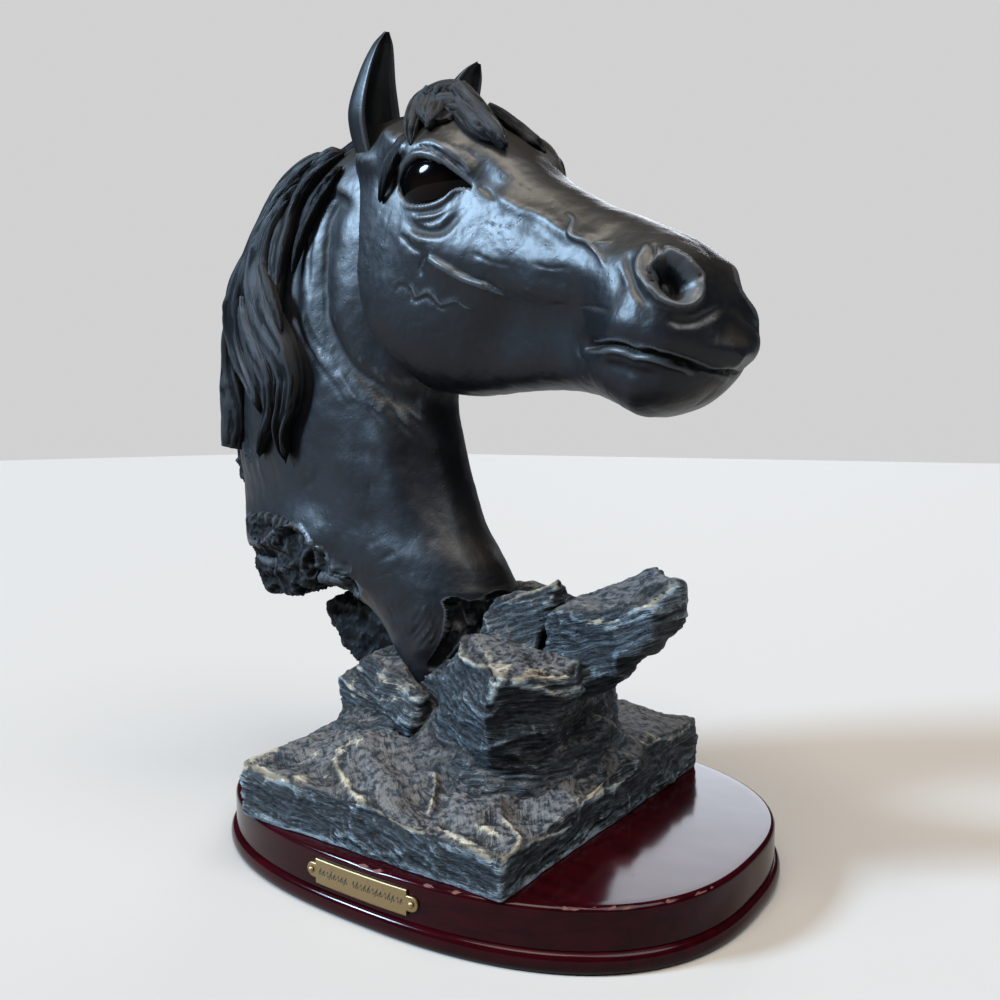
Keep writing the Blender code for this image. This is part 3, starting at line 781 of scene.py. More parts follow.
HEAD_CARVING = (
    # Eye
    Mark(DISH, 2.5, -9.0, EYE_OPENING),
    Mark(ROLL, 4.3, 1.2,
        ((398, 178), (406, 161), (418, 153), (432, 155), (448, 163), (462, 174), (472, 184)), 0.3),
    Mark(SHARP, 2.5, -2.0, ((403, 158), (413, 149.5), (424, 148), (438, 152), (455, 163), (470, 178)), 0.3),
    Mark(LEDGE, 8, 1.1, ((405, 155), (414, 147.5), (424, 144), (432, 143.5), (440, 149), (450, 156),
        (465, 168), (476, 181)), 0.4),
    Mark(ROLL, 3.0, 1.2,
        ((401, 196), (407, 204), (416, 207), (431, 206), (445, 200), (456, 190), (470, 190)), 0.3),
    Mark(SHARP, 1.5, -0.9, ((406, 207), (420, 212), (436, 210), (450, 202)), 0.4),
    Mark(ROLL, 2.2, 0.7, ((408, 212), (419, 217), (436, 215.5), (450, 208)), 0.4),
    Mark(SHARP, 1.3, -0.7, ((412, 219), (426, 222), (440, 218), (456, 206)), 0.4),
    Mark(ROLL, 5, -1.8, ((401, 216), (418, 229), (438, 231), (453, 219), (466, 203)), 0.4),
    Mark(ROLL, 3, 0.7, ((404, 224), (410, 233), (424, 239), (438, 238)), 0.4),
    Mark(SHARP, 1.4, -0.7, ((474, 184), (486, 190), (500, 204)), 0.4),
    # Strap behind the eye
    Mark(SHARP, 2.2, -2.6, ((404, 150), (394, 164), (388, 180), (384, 200)), 0.25),
    # Facial crest and cheek
    Mark(SHARP, 2, -1.6, ((397, 233), (410, 245), (424, 254)), 0.3),
    Mark(LEDGE, 4.6, 1.3, ((492, 287), (480, 282), (468, 277), (445, 264), (424, 253)), 0.12),
    Mark(SHARP, 1.8, -1.3, ((427, 254), (419, 266), (422, 276))),
    Mark(ROLL, 2.0, 0.45, ((391, 288), (399, 281), (411, 286), (416, 297), (427, 292), (435, 296),
        (442, 304), (455, 301), (469, 308), (484, 304)), 0.2),
    Mark(SHARP, 1.8, -0.7,
        ((393, 292), (401, 286), (409, 291), (414, 301), (427, 297), (440, 308), (455, 306)), 0.2),
    *alike(SHARP, 0.9, -0.4, ((409, 322), (427, 322)), ((422, 331), (444, 334))),
    Mark(ROLL, 2.6, -0.7, ((572, 307), (592, 306), (612, 311)), 0.4),
    Mark(SHARP, 1.2, -0.4, ((548, 306), (560, 304), (572, 306)), 0.4),
    # Vein on the nose
    Mark(ROLL, 2.4, 1.0, ((560, 212), (567, 214), (573, 220), (571, 228), (570, 233), (576, 238),
        (586, 241), (592, 248), (602, 259), (604, 275)), 0.25),
    Mark(ROLL, 2.2, 0.5, ((586, 241), (600, 243), (618, 239)), 0.4),
    # Nostril
    Mark(DISH, 8, -10.5, NOSTRIL_CUP),
    Mark(ROLL, 3.4, 1.5, NOSTRIL_RIM, 0.06),
    Mark(SHARP, 2.2, -2.6, ((652, 243), (655, 252), (652, 262), (648, 272), (652, 284)), 0.15),
    Mark(ROLL, 3.0, 1.2, ((660, 247), (655, 256), (653, 266), (656, 276)), 0.2),
    Mark(ROLL, 5.0, -1.8, ((634, 246), (628, 262), (632, 280), (641, 296), (654, 310)), 0.35),
    Mark(ROLL, 6.0, -0.8, ((616, 262), (618, 280), (626, 296)), 0.4),
    Mark(ROLL, 4.4, -1.2, ((663, 316), (675, 321), (696, 321), (728, 303)), 0.3),
    # Mouth
    Mark(SHARP, 2.6, -3.6, ((584, 347), (590, 347.4), (601, 344.6), (618, 345), (636, 351), (654, 353),
        (682, 361), (705, 371), (728, 374), (740, 372)), 0.08),
    Mark(ROLL, 2.6, 1.2, ((586, 345), (590, 343.5), (605, 341), (620, 341), (636, 346), (654, 349),
        (682, 356), (706, 366), (730, 369)), 0.15),
    Mark(ROLL, 3.2, 1.2,
        ((586, 352), (600, 352), (615, 350), (634, 356), (654, 360), (680, 368), (702, 377)), 0.25),
    Mark(SHARP, 2.0, -0.9, ((582, 338), (578, 346), (580, 356), (588, 364)), 0.4),
    Mark(ROLL, 6, -1.3, ((590, 366), (610, 366), (640, 374), (664, 381)), 0.3),
    # Jaw
    Mark(SHARP, 1.4, -0.7, ((343, 181), (333, 206), (328, 256), (328, 302), (338, 336), (360, 367)), 0.1),
    # Short scratches of the modelling tool over the brow, forehead and cheek
    *alike(SHARP, 1.0, -0.5, ((446, 142), (462, 148), (480, 160)), ((498, 176), (516, 181), (534, 192))),
    *alike(SHARP, 1.0, -0.4, ((470, 252), (492, 262), (512, 266)), ((362, 330), (374, 346), (390, 356)),
        ((530, 262), (548, 268), (566, 268)), ((482, 222), (500, 226), (520, 224))),
)


@dataclass
class Head:
    """The head, as rings along its own axis from behind the poll to the lips, in figure millimetres.

    The tables give the profile at each station: its top and bottom, half its width, the height at which it
    is widest, and how square it is above and below that.
    """

    rows: int = 400
    columns: int = 208
    stations: Numbers = (-52, -50, -46, -36, -20, 0, 20, 45, 70, 95, 120, 140, 153, 164, 173, 180, 185, 188)
    top: Numbers = (31, 33, 35, 41, 50, 56.5, 59, 57, 53.5, 54.5, 58, 59, 57, 51, 44, 38.5, 36, 33)
    bottom: Numbers = (30, 18, 8, -20, -55, -66, -68.5, -65, -55, -38, -22, -13, -10, -8, 0, 11, 21, 32)
    half_width: Numbers = (0, 12, 21, 28, 33, 36, 36.5, 33, 28.5, 26, 26, 29, 30.5, 29, 25, 18, 9, 0)
    widest_at: Numbers = (33, 29, 26, 17, 2, 0, 5, 12, 18, 22, 27, 30, 30, 28, 27, 29, 32, 32.5)
    top_power: Numbers = (
        2.2, 2.2, 2.3, 2.6, 2.8, 2.9, 2.9, 2.7, 2.4, 2.3, 2.3, 2.4, 2.4, 2.3, 2.2, 2.1, 2, 2)
    low_power: Numbers = (2, 2, 2.2, 2.6, 3, 3.2, 3.2, 3, 2.6, 2.2, 2.1, 2.2, 2.4, 2.4, 2.3, 2.1, 2, 2)
    # Closer rings at the eye, the nostril and both ends: place, spread and how much denser
    dense: tuple[Triple, ...] = ((28, 17, 1.7), (158, 16, 1.3), (-52, 5, 2.5), (188, 6, 2.5))
    eye_at: Pair = (18.4, 27.2)  # along and over the head's axis
    eye_depth: float = 15.0  # from the middle of the head to the middle of the ball
    eye_radius: float = 20.0
    eye_stretch: float = 1.35  # the ball is longer along the lids
    swell_lift: float = 0.30
    grain_lift: float = 0.12
    far_rounds: int = 5  # rounds of smoothing on the far side, which is finished plainer
    far_nostril: Triple = (168.0, 34.0, 24.0)  # middle of the far nostril's flare
    flare_radius: float = 14.0
    flare_lift: float = 4.0

    def curve(self, values: Numbers, along: Array) -> Array:
        """One table of the profile, read smoothly along the head."""
        return smooth_curve(self.stations, values, along)

    def rest_grid(self) -> Array:
        """The head before carving, as rings of (along, height, side).

        Round each ring the side is the half width times sin(angle) to the power two over the squareness,
        and the height the reach times cos(angle) to the same power. The rings' points are then spread
        evenly by length and closer together on the near side, round the eye and round the nostril.

        Returns:
            Rows of closed rings.
        """
        along = uneven_steps(self.stations[0], self.stations[-1], self.rows, self.dense)
        angle = np.linspace(0, 1, RING_STEPS)[None, :] * 2 * math.pi
        widest = self.curve(self.widest_at, along)[:, None]
        cosine, sine = np.cos(angle), np.sin(angle)
        above = cosine > 0
        top, bottom, top_power, low_power, half_width = (
            self.curve(values, along)[:, None]
            for values in (self.top, self.bottom, self.top_power, self.low_power, self.half_width))
        power = np.where(above, top_power, low_power)
        reach = np.where(above, top - widest, widest - bottom)
        side = half_width * powered(sine, 2 / power)
        height = widest + reach * powered(cosine, 2 / power)
        near = smooth_step(6, -4, (side[:, 1:] + side[:, :-1]) / 2)
        upper = smooth_step(-30, 10, (height[:, 1:] + height[:, :-1]) / 2)
        rings = spread_round(side, height, 1 + 1.3 * near + 0.5 * near * upper, self.columns)
        return joined(along[:, None], rings[..., 1], rings[..., 0])

    @staticmethod
    def place(grid: Array) -> Array:
        """From (along, height, side) to figure millimetres: turned down by the slope, round by the yaw.

        Args:
            grid: Coordinates along, over and across the head's axis.

        Returns:
            Points in figure millimetres.
        """
        along, height, side = grid[..., 0:1], grid[..., 1:2], grid[..., 2:3]
        ahead = along * math.cos(HEAD_SLOPE) + height * math.sin(HEAD_SLOPE)
        rise = height * math.cos(HEAD_SLOPE) - along * math.sin(HEAD_SLOPE)
        return HEAD_ORIGIN + ahead * FORWARD + side * FAR_SIDE + rise * UP

    @staticmethod
    def to_near_side(points: Array) -> Array:
        """The points with those of the far side mirrored to the near side."""
        side = (points - HEAD_ORIGIN) @ FAR_SIDE
        return points - 2 * np.maximum(side, 0)[..., None] * FAR_SIDE

    def carve(self, grid: Array, marks: tuple[Mark, ...]) -> Array:
        """Carves one group of marks into both sides.

        Args:
            grid: The head's rings.
            marks: What to carve.

        Returns:
            The moved rings.
        """
        normals = outwards(grid)
        side = (grid - HEAD_ORIGIN) @ FAR_SIDE
        far = (side > 0)[..., None]
        mirrored = normals - 2 * (normals @ FAR_SIDE)[..., None] * FAR_SIDE
        return carved(grid, normals, self.to_near_side(grid), np.where(far, mirrored, normals), marks)

    def surface(self) -> Array:
        """The carved head in figure millimetres.

        Returns:
            Rows of closed rings.
        """
        grid = self.place(self.rest_grid())
        grid = self.carve(grid, HEAD_FORMS)
        grid = self.carve(grid, HEAD_CARVING)
        swell = noise(grid / 9.0, 11, 2) * self.swell_lift + noise(grid / 2.6, 12, 2) * self.grain_lift
        grid = grid + swell[..., None] * outwards(grid)
        side = (grid - HEAD_ORIGIN) @ FAR_SIDE
        nostril = self.place(np.array(self.far_nostril))
        flare = np.exp(-np.sum((grid - nostril) ** 2, axis=-1) / self.flare_radius**2)
        grid = grid + (self.flare_lift * flare * smooth_step(4, 12, side))[..., None] * outwards(grid)
        far = smooth_step(2.0, 8.0, side)[1:-1, :, None]
        for _ in range(self.far_rounds):
            around = (np.roll(grid, 1, axis=1) + np.roll(grid, -1, axis=1))[1:-1] + grid[:-2] + grid[2:]
            grid[1:-1] += far * (around / 4 - grid[1:-1])
        return grid

    def build(self, figure: Figure) -> list[Object]:
        """Makes the head and its two eyes.

        Args:
            figure: The scale.

        Returns:
            The head, then the eyes.
        """
        made = ring_object("head", self.surface(), figure)
        mark_edges(made, scale=0.00016, rounds=6)
        mark_warm_top_light(made, low=-0.05, high=0.75)
        return [made, self.make_eye("eye_near", -1, figure), self.make_eye("eye_far", 1, figure)]

    def make_eye(self, name: str, side: int, figure: Figure) -> Object:
        """An eyeball: a sphere set behind the lids, its brown iris low on the side that looks out and
        painted black above as lid shade.

        Args:
            name: The object's name.
            side: -1 for the near eye and 1 for the far one.
            figure: The scale.

        Returns:
            The eyeball.
        """
        middle = self.place(np.array([*self.eye_at, side * self.eye_depth]))
        axis = unit_vectors(FAR_SIDE * side + FORWARD * 0.25 + UP * 0.1)
        across = unit_vectors(np.cross(UP, axis))
        rise = np.cross(axis, across)
        turn = np.linspace(0, math.pi, 34)[1:-1, None]
        angle = round_angles(48)
        around = np.sin(turn)
        sphere = joined(np.cos(turn), around * np.cos(angle) * self.eye_stretch, around * np.sin(angle))
        ball = middle + self.eye_radius * (sphere @ np.array([axis, across, rise]))
        made = ring_object(name, ball, figure)
        place = (figure.drawn(mesh_arrays(made.data)[0]) - middle) / self.eye_radius
        # The iris is cut off above, where the ball is painted black as the upper lid's shade.
        below_lid_shade = smooth_step(0.15, -0.35, place @ rise)
        round_part = smooth_step(0.75, 0.35, np.hypot(place @ across, place @ rise + 0.1))
        set_attribute(made.data, "iris", below_lid_shade * round_part)
        return made


# The hole torn into the near side of the neck, and the bark-like break at its throat
TORN_EDGE: Line = (
    (250, 543), (262, 543), (273, 533), (290, 525), (302, 530), (314, 547), (326, 552), (331, 571),
    (343, 576), (352, 578), (360, 600), (340, 612), (300, 608), (262, 604), (246, 575), (250, 543),
)

BARK_EDGE: Line = (
    (444, 602), (456, 597), (470, 602), (486, 596), (502, 590), (514, 596), (512, 612), (490, 632),
    (466, 640), (450, 654), (436, 668), (428, 664), (440, 645), (446, 622), (444, 602),
)

# Broad forms of the neck, carved first
NECK_FORMS = (
    Mark(ROLL, 12, -2.6,
        ((346, 190), (330, 212), (322, 256), (321, 302), (330, 340), (350, 368), (388, 392), (430, 398)),
        0.05),
    Mark(ROLL, 17, 1.7, ((360, 400), (384, 449), (398, 499), (408, 540)), 0.35),
    Mark(ROLL, 17, -1.2, ((398, 420), (420, 480), (434, 540)), 0.35),
    Mark(ROLL, 9, -3.4,
        ((306, 214), (296, 246), (291, 280), (292, 322), (302, 352), (305, 376), (300, 410), (294, 440)),
        0.2),
    Mark(ROLL, 14, 1.2, ((336, 430), (352, 480), (368, 530)), 0.35),
    Mark(ROLL, 12, -0.8, ((306, 470), (320, 520)), 0.35),
    Mark(ROLL, 34, 4.5, ((240, 552), (296, 548)), 0),
)

NECK_CARVING = (
    Mark(SHARP, 2.2, -1.6,
        ((346, 196), (332, 216), (326, 256), (326, 302), (335, 338), (357, 370), (394, 394)), 0.1),
    *alike(SHARP, 1.3, -0.8, ((360, 380), (384, 404), (404, 428), (418, 441)),
        ((372, 382), (394, 400), (416, 422), (430, 440))),
    Mark(SHARP, 1.3, -0.7, ((350, 384), (366, 404), (388, 428))),
    Mark(SHARP, 1.2, -0.6, ((392, 396), (412, 408), (436, 420))),
    *alike(ROLL, 1.6, 0.5, ((337, 366), (352, 392), (374, 410)), ((345, 366), (366, 390), (392, 412))),
    *alike(SHARP, 1.2, -0.7, ((320, 214), (313, 240), (309, 262), (308, 292)),
        ((304, 316), (314, 340), (332, 362)), ((298, 330), (312, 356), (330, 380), (350, 410))),
    *alike(SHARP, 1.0, -0.5, ((366, 546), (376, 541), (386, 537)), ((378, 562), (388, 557), (396, 553))),
    *alike(SHARP, 1.0, -0.4, ((424, 523), (432, 520)), ((426, 543), (436, 538)),
        ((374, 578), (384, 574), (392, 572))),
    Mark(SHARP, 1.0, -0.5, ((388, 606), (394, 620))),
    Mark(LEDGE, 9, 2.6, TORN_EDGE[9::-1], 0.05),
    Mark(DISH, 5, -6.0, TORN_EDGE),
    Mark(DISH, 3, -4.0, BARK_EDGE),
    Mark(ROLL, 10, 1.2, ((424, 612), (430, 630), (424, 646)), 0.0),
    *alike(SHARP, 1.3, -0.55, ((434, 606), (430, 620), (420, 634), (412, 642)),
        ((430, 604), (426, 617), (416, 630), (408, 638)), ((438, 612), (435, 626), (426, 640), (418, 650))),
    *alike(SHARP, 1.3, -0.50, ((424, 602), (420, 613), (412, 624)), ((440, 622), (437, 634), (430, 646))),
)


@dataclass
class Neck:
    """The neck, as level rings from the rocks to the poll, in figure millimetres.

    The tables give at each level the front, the crest, half the thickness and the middle of it across.
    """

    rows: int = 262
    columns: int = 222
    levels: Numbers = (
        30, 60, 75, 84, 90, 95, 98, 102, 110, 125, 145, 165, 190, 215, 240, 265, 285, 305, 320, 328)
    front: Numbers = (
        -20, -10, 4, 9, 11, 11, 11, 9, 5, -6, -16, -23, -29, -28, -22, -16, -18, -28, -48, -68)
    crest: Numbers = (
        -38, -46, -58, -68, -80, -98, -125, -150, -163, -170, -173, -176, -176, -173, -165, -153, -141,
        -125, -104, -85)
    half_thickness: Numbers = (
        18, 24, 27, 28, 28, 28, 28, 28, 28, 28, 29, 30, 31, 31.5, 32, 32, 31, 27.5, 18, 0)
    middle: Numbers = (
        -29, -30, -33, -36, -39, -42, -45, -50, -60, -76, -88, -96, -102, -100, -93, -85, -79, -76, -76,
        -76)
    centre_y: Numbers = (-6, -4, -3, -3, -3, -3, -3, -3, -3, -2, 0, 1, 2, 3, 4, 6, 8, 10, 13, 14)
    # Closer rings at the torn underside, the top and the throat's foot
    dense: tuple[Triple, ...] = ((98, 9, 3.0), (328, 6, 3.0), (80, 20, 0.8))
    taper: float = 0.18  # how much thicker the front is, as a share
    comb_depth: float = 1.1
    pore_depth: float = 4.8
    swell_lift: float = 0.45
    grain_lift: float = 0.13

    def curve(self, values: Numbers, level: Array) -> Array:
        """One table of the neck, read smoothly up it."""
        return smooth_curve(self.levels, values, level)

    def rest_grid(self) -> Array:
        """The neck before carving: ovals, a little squarer than an ellipse and narrower towards the crest.

        Round each ring, x swings from the middle to the front and to the crest with cos(angle) and y from
        the middle by half the thickness with sin(angle), both to the power 0.9, and the front is
        thicker by the taper and the crest thinner.

        Returns:
            Rows of closed rings.
        """
        level = uneven_steps(self.levels[0], self.levels[-1], self.rows, self.dense)[:, None]
        angle = np.linspace(0, 2 * math.pi, RING_STEPS)[None, :]
        front, crest = self.curve(self.front, level), self.curve(self.crest, level)
        cosine, sine = np.cos(angle), np.sin(angle)
        middle = self.curve(self.middle, level)
        x = middle + np.where(cosine > 0, front - middle, crest - middle) * np.abs(cosine) ** 0.9
        y = self.curve(self.half_thickness, level) * powered(sine, 0.9) * (1 + self.taper * cosine)
        near = smooth_step(4, -4, (y[:, 1:] + y[:, :-1]) / 2)
        rings = spread_round(x, y + self.curve(self.centre_y, level), 1 + 0.9 * near, self.columns)
        return joined(rings[..., 0], rings[..., 1], level)

    def torn(self, grid: Array) -> Array:
        """How far each point belongs to the broken underside of the neck, from 0 to 1.

        Args:
            grid: The neck's rings.

        Returns:
            One share for each point.
        """
        pixels = PHOTO.project(grid.reshape(-1, 3))[0]
        inside = inside_ring(pixels, rounded_line(TORN_EDGE, 4)).reshape(grid.shape[:2])
        broken_below = smooth_step(112, 104, grid[..., 2] + 5 * noise(grid / 12.0, 31, 2))
        behind = smooth_step(-62, -72, grid[..., 0])
        bark = inside_ring(pixels, rounded_line(BARK_EDGE, 4)).reshape(grid.shape[:2])
        return np.maximum(broken_below * behind, (inside | bark) * smooth_step(0, -8, grid[..., 1]))

    def surface(self) -> Array:
        """The carved neck: marks on the near side, combed crest and far side, and a porous torn end.

        Returns:
            Rows of closed rings.
        """
        grid = self.rest_grid()
        for marks in (NECK_FORMS, NECK_CARVING):
            normals = outwards(grid)
            far = normals[..., 1] > 0.1
            seen_normals = np.where(far[..., None], -normals, normals)
            moved = carved(grid, normals, grid, seen_normals, marks)
            grid = np.where(far[..., None], grid, moved)
        normals = outwards(grid)
        torn = self.torn(grid)
        level = grid[..., 2]
        crestward = smooth_step(-95, -150, grid[..., 0] + (level - 200) * -0.15)
        far_side = smooth_step(-0.2, 0.5, normals[..., 1])
        flow = joined(grid[..., 0] + 0.35 * level, grid[..., 1], level * 0.05)
        comb = noise(flow / 3.6, 21, 3, ridged=True) * self.comb_depth
        combed = np.clip(crestward * (0.5 + far_side), 0, 1) * smooth_step(120, 160, level)
        pores = -self.pore_depth * crumpled(grid / 14.0, 22)
        skin = noise(grid / 11.0, 23, 2) * self.swell_lift + noise(grid / 2.8, 24, 2) * self.grain_lift
        lift = comb * combed + pores * torn + skin * (1 - torn)
        return grid + lift[..., None] * normals

    def build(self, figure: Figure) -> Object:
        """Makes the neck.

        Args:
            figure: The scale.

        Returns:
            The neck.
        """
        grid = self.surface()
        made = ring_object("neck", grid, figure)
        set_attribute(made.data, "torn", np.append(self.torn(grid).ravel(), [0, 0]))
        mark_edges(made, scale=0.00022, rounds=6)
        mark_warm_top_light(made, low=0.1, high=0.9)
        return made


@dataclass(frozen=True)
class Ear:
    """A leaf-shaped cup, open to the front and outwards, in figure millimetres."""

    name: str
    side: float  # -1 near, 1 far
    tip_ahead: float
    tip_rise: float
    turn_out: float
    base_ahead: float
    base_out: float = 15.5
    base_rise: float = 25.0
    tip_out: float = 29.0
    bend_back: float = 5.0
    lip: float = 0.80  # inner width of the cup as a share of its outer width
    half_widths: Numbers = (12.5, 14.5, 15.5, 11, 5.6, 1.6)
    walls: Numbers = (8, 2.6, 2.0, 0.4)

    def surface(self, rows: int = 110, columns: int = 84) -> Array:
        """Each ring is a crescent: an outer half ellipse behind and an inner one in front, a wall apart.

        The half width follows the leaf's outline up the ear, the spine bends back by a sine, and the inner
        half carries combed hair grooves that run up the ear.

        Args:
            rows: Rings from base to tip.
            columns: Points round each ring.

        Returns:
            Rings of points in figure millimetres.
        """
        v = np.linspace(0, 1, rows)[:, None]
        angle = round_angles(columns)
        out = FAR_SIDE * self.side
        base = HEAD_ORIGIN + FORWARD * self.base_ahead + out * self.base_out + UP * self.base_rise
        tip = HEAD_ORIGIN + FORWARD * self.tip_ahead + out * self.tip_out + UP * self.tip_rise
        axis = unit_vectors(tip - base)
        open_way = FORWARD + out * self.turn_out
        open_way = unit_vectors(open_way - axis * (open_way @ axis))
        across = np.cross(axis, open_way)
        half = smooth_curve([0, 0.16, 0.4, 0.7, 0.92, 1], self.half_widths, v)
        wall = smooth_curve([0, 0.3, 0.8, 1], self.walls, v)
        depth = half * 1.1
        cosine, sine = np.cos(angle), np.sin(angle)
        inner = sine < 0
        width = np.where(inner, self.lip, 1.0) * half
        inward = np.where(inner, np.minimum(wall - depth, -0.1) * -sine, -depth * sine)
        strands = noise(joined(cosine * 9.0, v * 3.0, sine), 41, 3, ridged=True)
        inward = inward + strands * np.where(inner, 0.8, 0.35) * np.abs(sine) * smooth_step(1.0, 0.8, v)
        rim = np.exp(-((sine / 0.22) ** 2)) * 0.7 * smooth_step(1.0, 0.9, v)
        spine = base + (tip - base) * v[..., None]
        bend = self.bend_back * np.sin(math.pi * v)[..., None] * -open_way
        return spine + bend + ((width + rim) * cosine)[..., None] * across + inward[..., None] * open_way

    def build(self, figure: Figure) -> Object:
        """Makes the ear.

        Args:
            figure: The scale.

        Returns:
            The ear.
        """
        made = ring_object(self.name, self.surface(), figure, lengths=True)
        mark_edges(made, scale=0.00020, rounds=6)
        mark_warm_top_light(made, low=0.0, high=1.2)
        return made


EARS = (Ear("ear_near", -1.0, 1, 87, -0.3, -13), Ear("ear_far", 1.0, 3, 87.5, 0.2, -3))


class SeenSurface:
    """Gives, for a pixel, the place on the head or neck that the photograph's camera sees there."""

    def __init__(self, *grids: Array) -> None:
        """Keeps the points that face the camera in a search tree over their pixels.

        Args:
            grids: Rings of each surface, in figure millimetres.
        """
        points = np.vstack([grid.reshape(-1, 3) for grid in grids])
        normals = np.vstack([outwards(grid).reshape(-1, 3) for grid in grids])
        seen = PHOTO.facing(points, normals) > 0.02
        self.points, self.normals = points[seen], normals[seen]
        self.pixels, self.depth = PHOTO.project(self.points)
        self.tree = KDTree(len(self.points))
        for number, (across, down) in enumerate(self.pixels):
            self.tree.insert((across, down, 0.0), number)
        self.tree.balance()

    def under(self, line: Array) -> tuple[Array, Array]:
        """Depths and normals under a line of pixels, each from the nearest of the closest seen points.

        Args:
            line: Pixels, one row each.

        Returns:
            Depth and outward normal at each pixel.
        """
        chosen = []
        for across, down in line:
            found = self.tree.find_n((across, down, 0.0), 12)
            reach = found[0][2] + 2.0
            chosen.append(min((item[1] for item in found if item[2] <= reach), key=lambda k: self.depth[k]))
        return self.depth[chosen], self.normals[chosen]


def evened(values: Array, rounds: int) -> Array:
    """Rows of values smoothed along their order, the ends held.

    Args:
        values: Rows in order.
        rounds: How many times.

    Returns:
        The smoothed rows.
    """
    for _ in range(rounds):
        inner = (values[:-2] + 2 * values[1:-1] + values[2:]) / 4
        values = np.concatenate([values[:1], inner, values[-1:]])
    return values


@dataclass(frozen=True)
class Lock:
    """A lock of hair drawn in the photograph's pixels and laid on the surface that the camera sees.

    Half widths are in pixels along the way; lift and thickness are in millimetres. A path whose points have
    three numbers is in figure millimetres instead, as its half widths are, and the lock faces up and away
    from it.
    """

    name: str
    path: Line | Corners
    half_widths: Numbers
    lift: float = 1.0
    thickness: float = 5.0
    folds: float = 2.2
    fold_depth: float = 1.9
    blunt: bool = False
    lean: float = 0.0  # how far a lock drawn in space faces sideways

    def surface(self, ground: SeenSurface, rows: int = 96, columns: int = 52) -> Array:
        """Flattened rings along the lock, their front modelled into folds with sharp valleys between.

        Across a ring the place is the half width times cos(angle) to the power 0.85 and out of the surface
        the thickness times sin(angle) to the power 0.6. The folds are the size of stretched noise, which is
        rounded between its zeros and sharp at them: broad folds that lean together and part, and finer
        strands in them.

        Args:
            ground: What the lock lies on.
            rows: Rings along the lock.
            columns: Points round each ring.

        Returns:
            Rings of points in figure millimetres.
        """
        steps = max(4, rows // (len(self.path) - 1))
        line = rounded_line(np.array(self.path, float), steps)
        share = np.concatenate([[0], np.cumsum(np.linalg.norm(np.diff(line, axis=0), axis=1))])
        share /= share[-1]
        spine, facing, pixel = self.laid(line, ground)
        spine = spine + self.lift * facing
        run = unit_vectors(np.gradient(spine, axis=0))
        across = unit_vectors(np.cross(run, facing))
        places = np.linspace(0, 1, len(self.half_widths))
        half = smooth_curve(places, self.half_widths, share)[:, None] * pixel
        widest = max(self.half_widths) * pixel.mean()
        thick = self.thickness * np.minimum(1, 0.2 + 0.9 * half / widest)
        start = smooth_step(0, 0.06, share)[:, None]
        ends = start * (1.0 if self.blunt else smooth_step(1.0, 0.96, share)[:, None])
        angle = round_angles(columns)
        angle = angle - 0.42 * np.sin(2 * angle) * (np.sin(angle) > 0)
        cosine, sine = np.cos(angle), np.sin(angle)
        seed = sum(map(ord, self.name)) % 97
        length = share[:, None] * np.linalg.norm(np.diff(spine, axis=0), axis=1).sum()
        place = cosine * self.folds / 2 + 0.45 * noise(joined(length / 30.0, cosine * 0.9, 0.0), seed, 2)
        broad, narrow, finest = (
            np.abs(noise(joined(place * often, length / stretch, 0.0), seed + shift))
            for often, stretch, shift in ((1.5, 60.0, 3), (4.2, 34.0, 5), (10.0, 22.0, 7)))
        comb = self.fold_depth * (1.9 * broad**0.8 + 1.0 * narrow + 0.45 * finest - 1.4)
        comb = comb * np.maximum(sine, 0) ** 0.35 * np.minimum(1, thick / (1.8 * self.fold_depth))
        out = (thick * powered(sine, 0.6) + comb) * ends
        waver = 1 + 0.14 * noise(joined(share * 5, seed, 0), seed + 11, 2)[:, None]
        width = half * waver * (0.25 + 0.75 * (start if self.blunt else ends))
        sideways = (width * powered(cosine, 0.85))[..., None] * across[:, None, :]
        return spine[:, None, :] + sideways + out[..., None] * facing[:, None, :]

    def laid(self, line: Array, ground: SeenSurface) -> tuple[Array, Array, Array]:
        """Where the lock's middle line runs, which way it faces and the millimetres in a unit of its width.

        Args:
            line: The path, in pixels or in figure millimetres.
            ground: What the lock lies on.

        Returns:
            Places, unit vectors and a column of widths.
        """
        if line.shape[1] == 3:
            run = unit_vectors(np.gradient(line, axis=0))
            side = unit_vectors(np.cross(run, UP))
            return line, unit_vectors(np.cross(side, run) + self.lean * side), np.ones((len(line), 1))
        depth, facing = ground.under(line)
        depth = evened(depth, 60)
        facing = unit_vectors(evened(facing, 200))
        place = PHOTO.at_depth(line, depth)
        facing = unit_vectors(facing + 0.6 * unit_vectors(PHOTO.place - place))
        return place, facing, (depth / PHOTO.focal)[:, None]

    def build(self, ground: SeenSurface, figure: Figure) -> Object:
        """Makes the lock.

        Args:
            ground: What the lock lies on.
            figure: The scale.

        Returns:
            The lock.
        """
        made = ring_object(self.name, self.surface(ground), figure, lengths=True)
        mark_edges(made, scale=0.00020, rounds=8)
        mark_warm_top_light(made, low=-0.2, high=0.8)
        return made


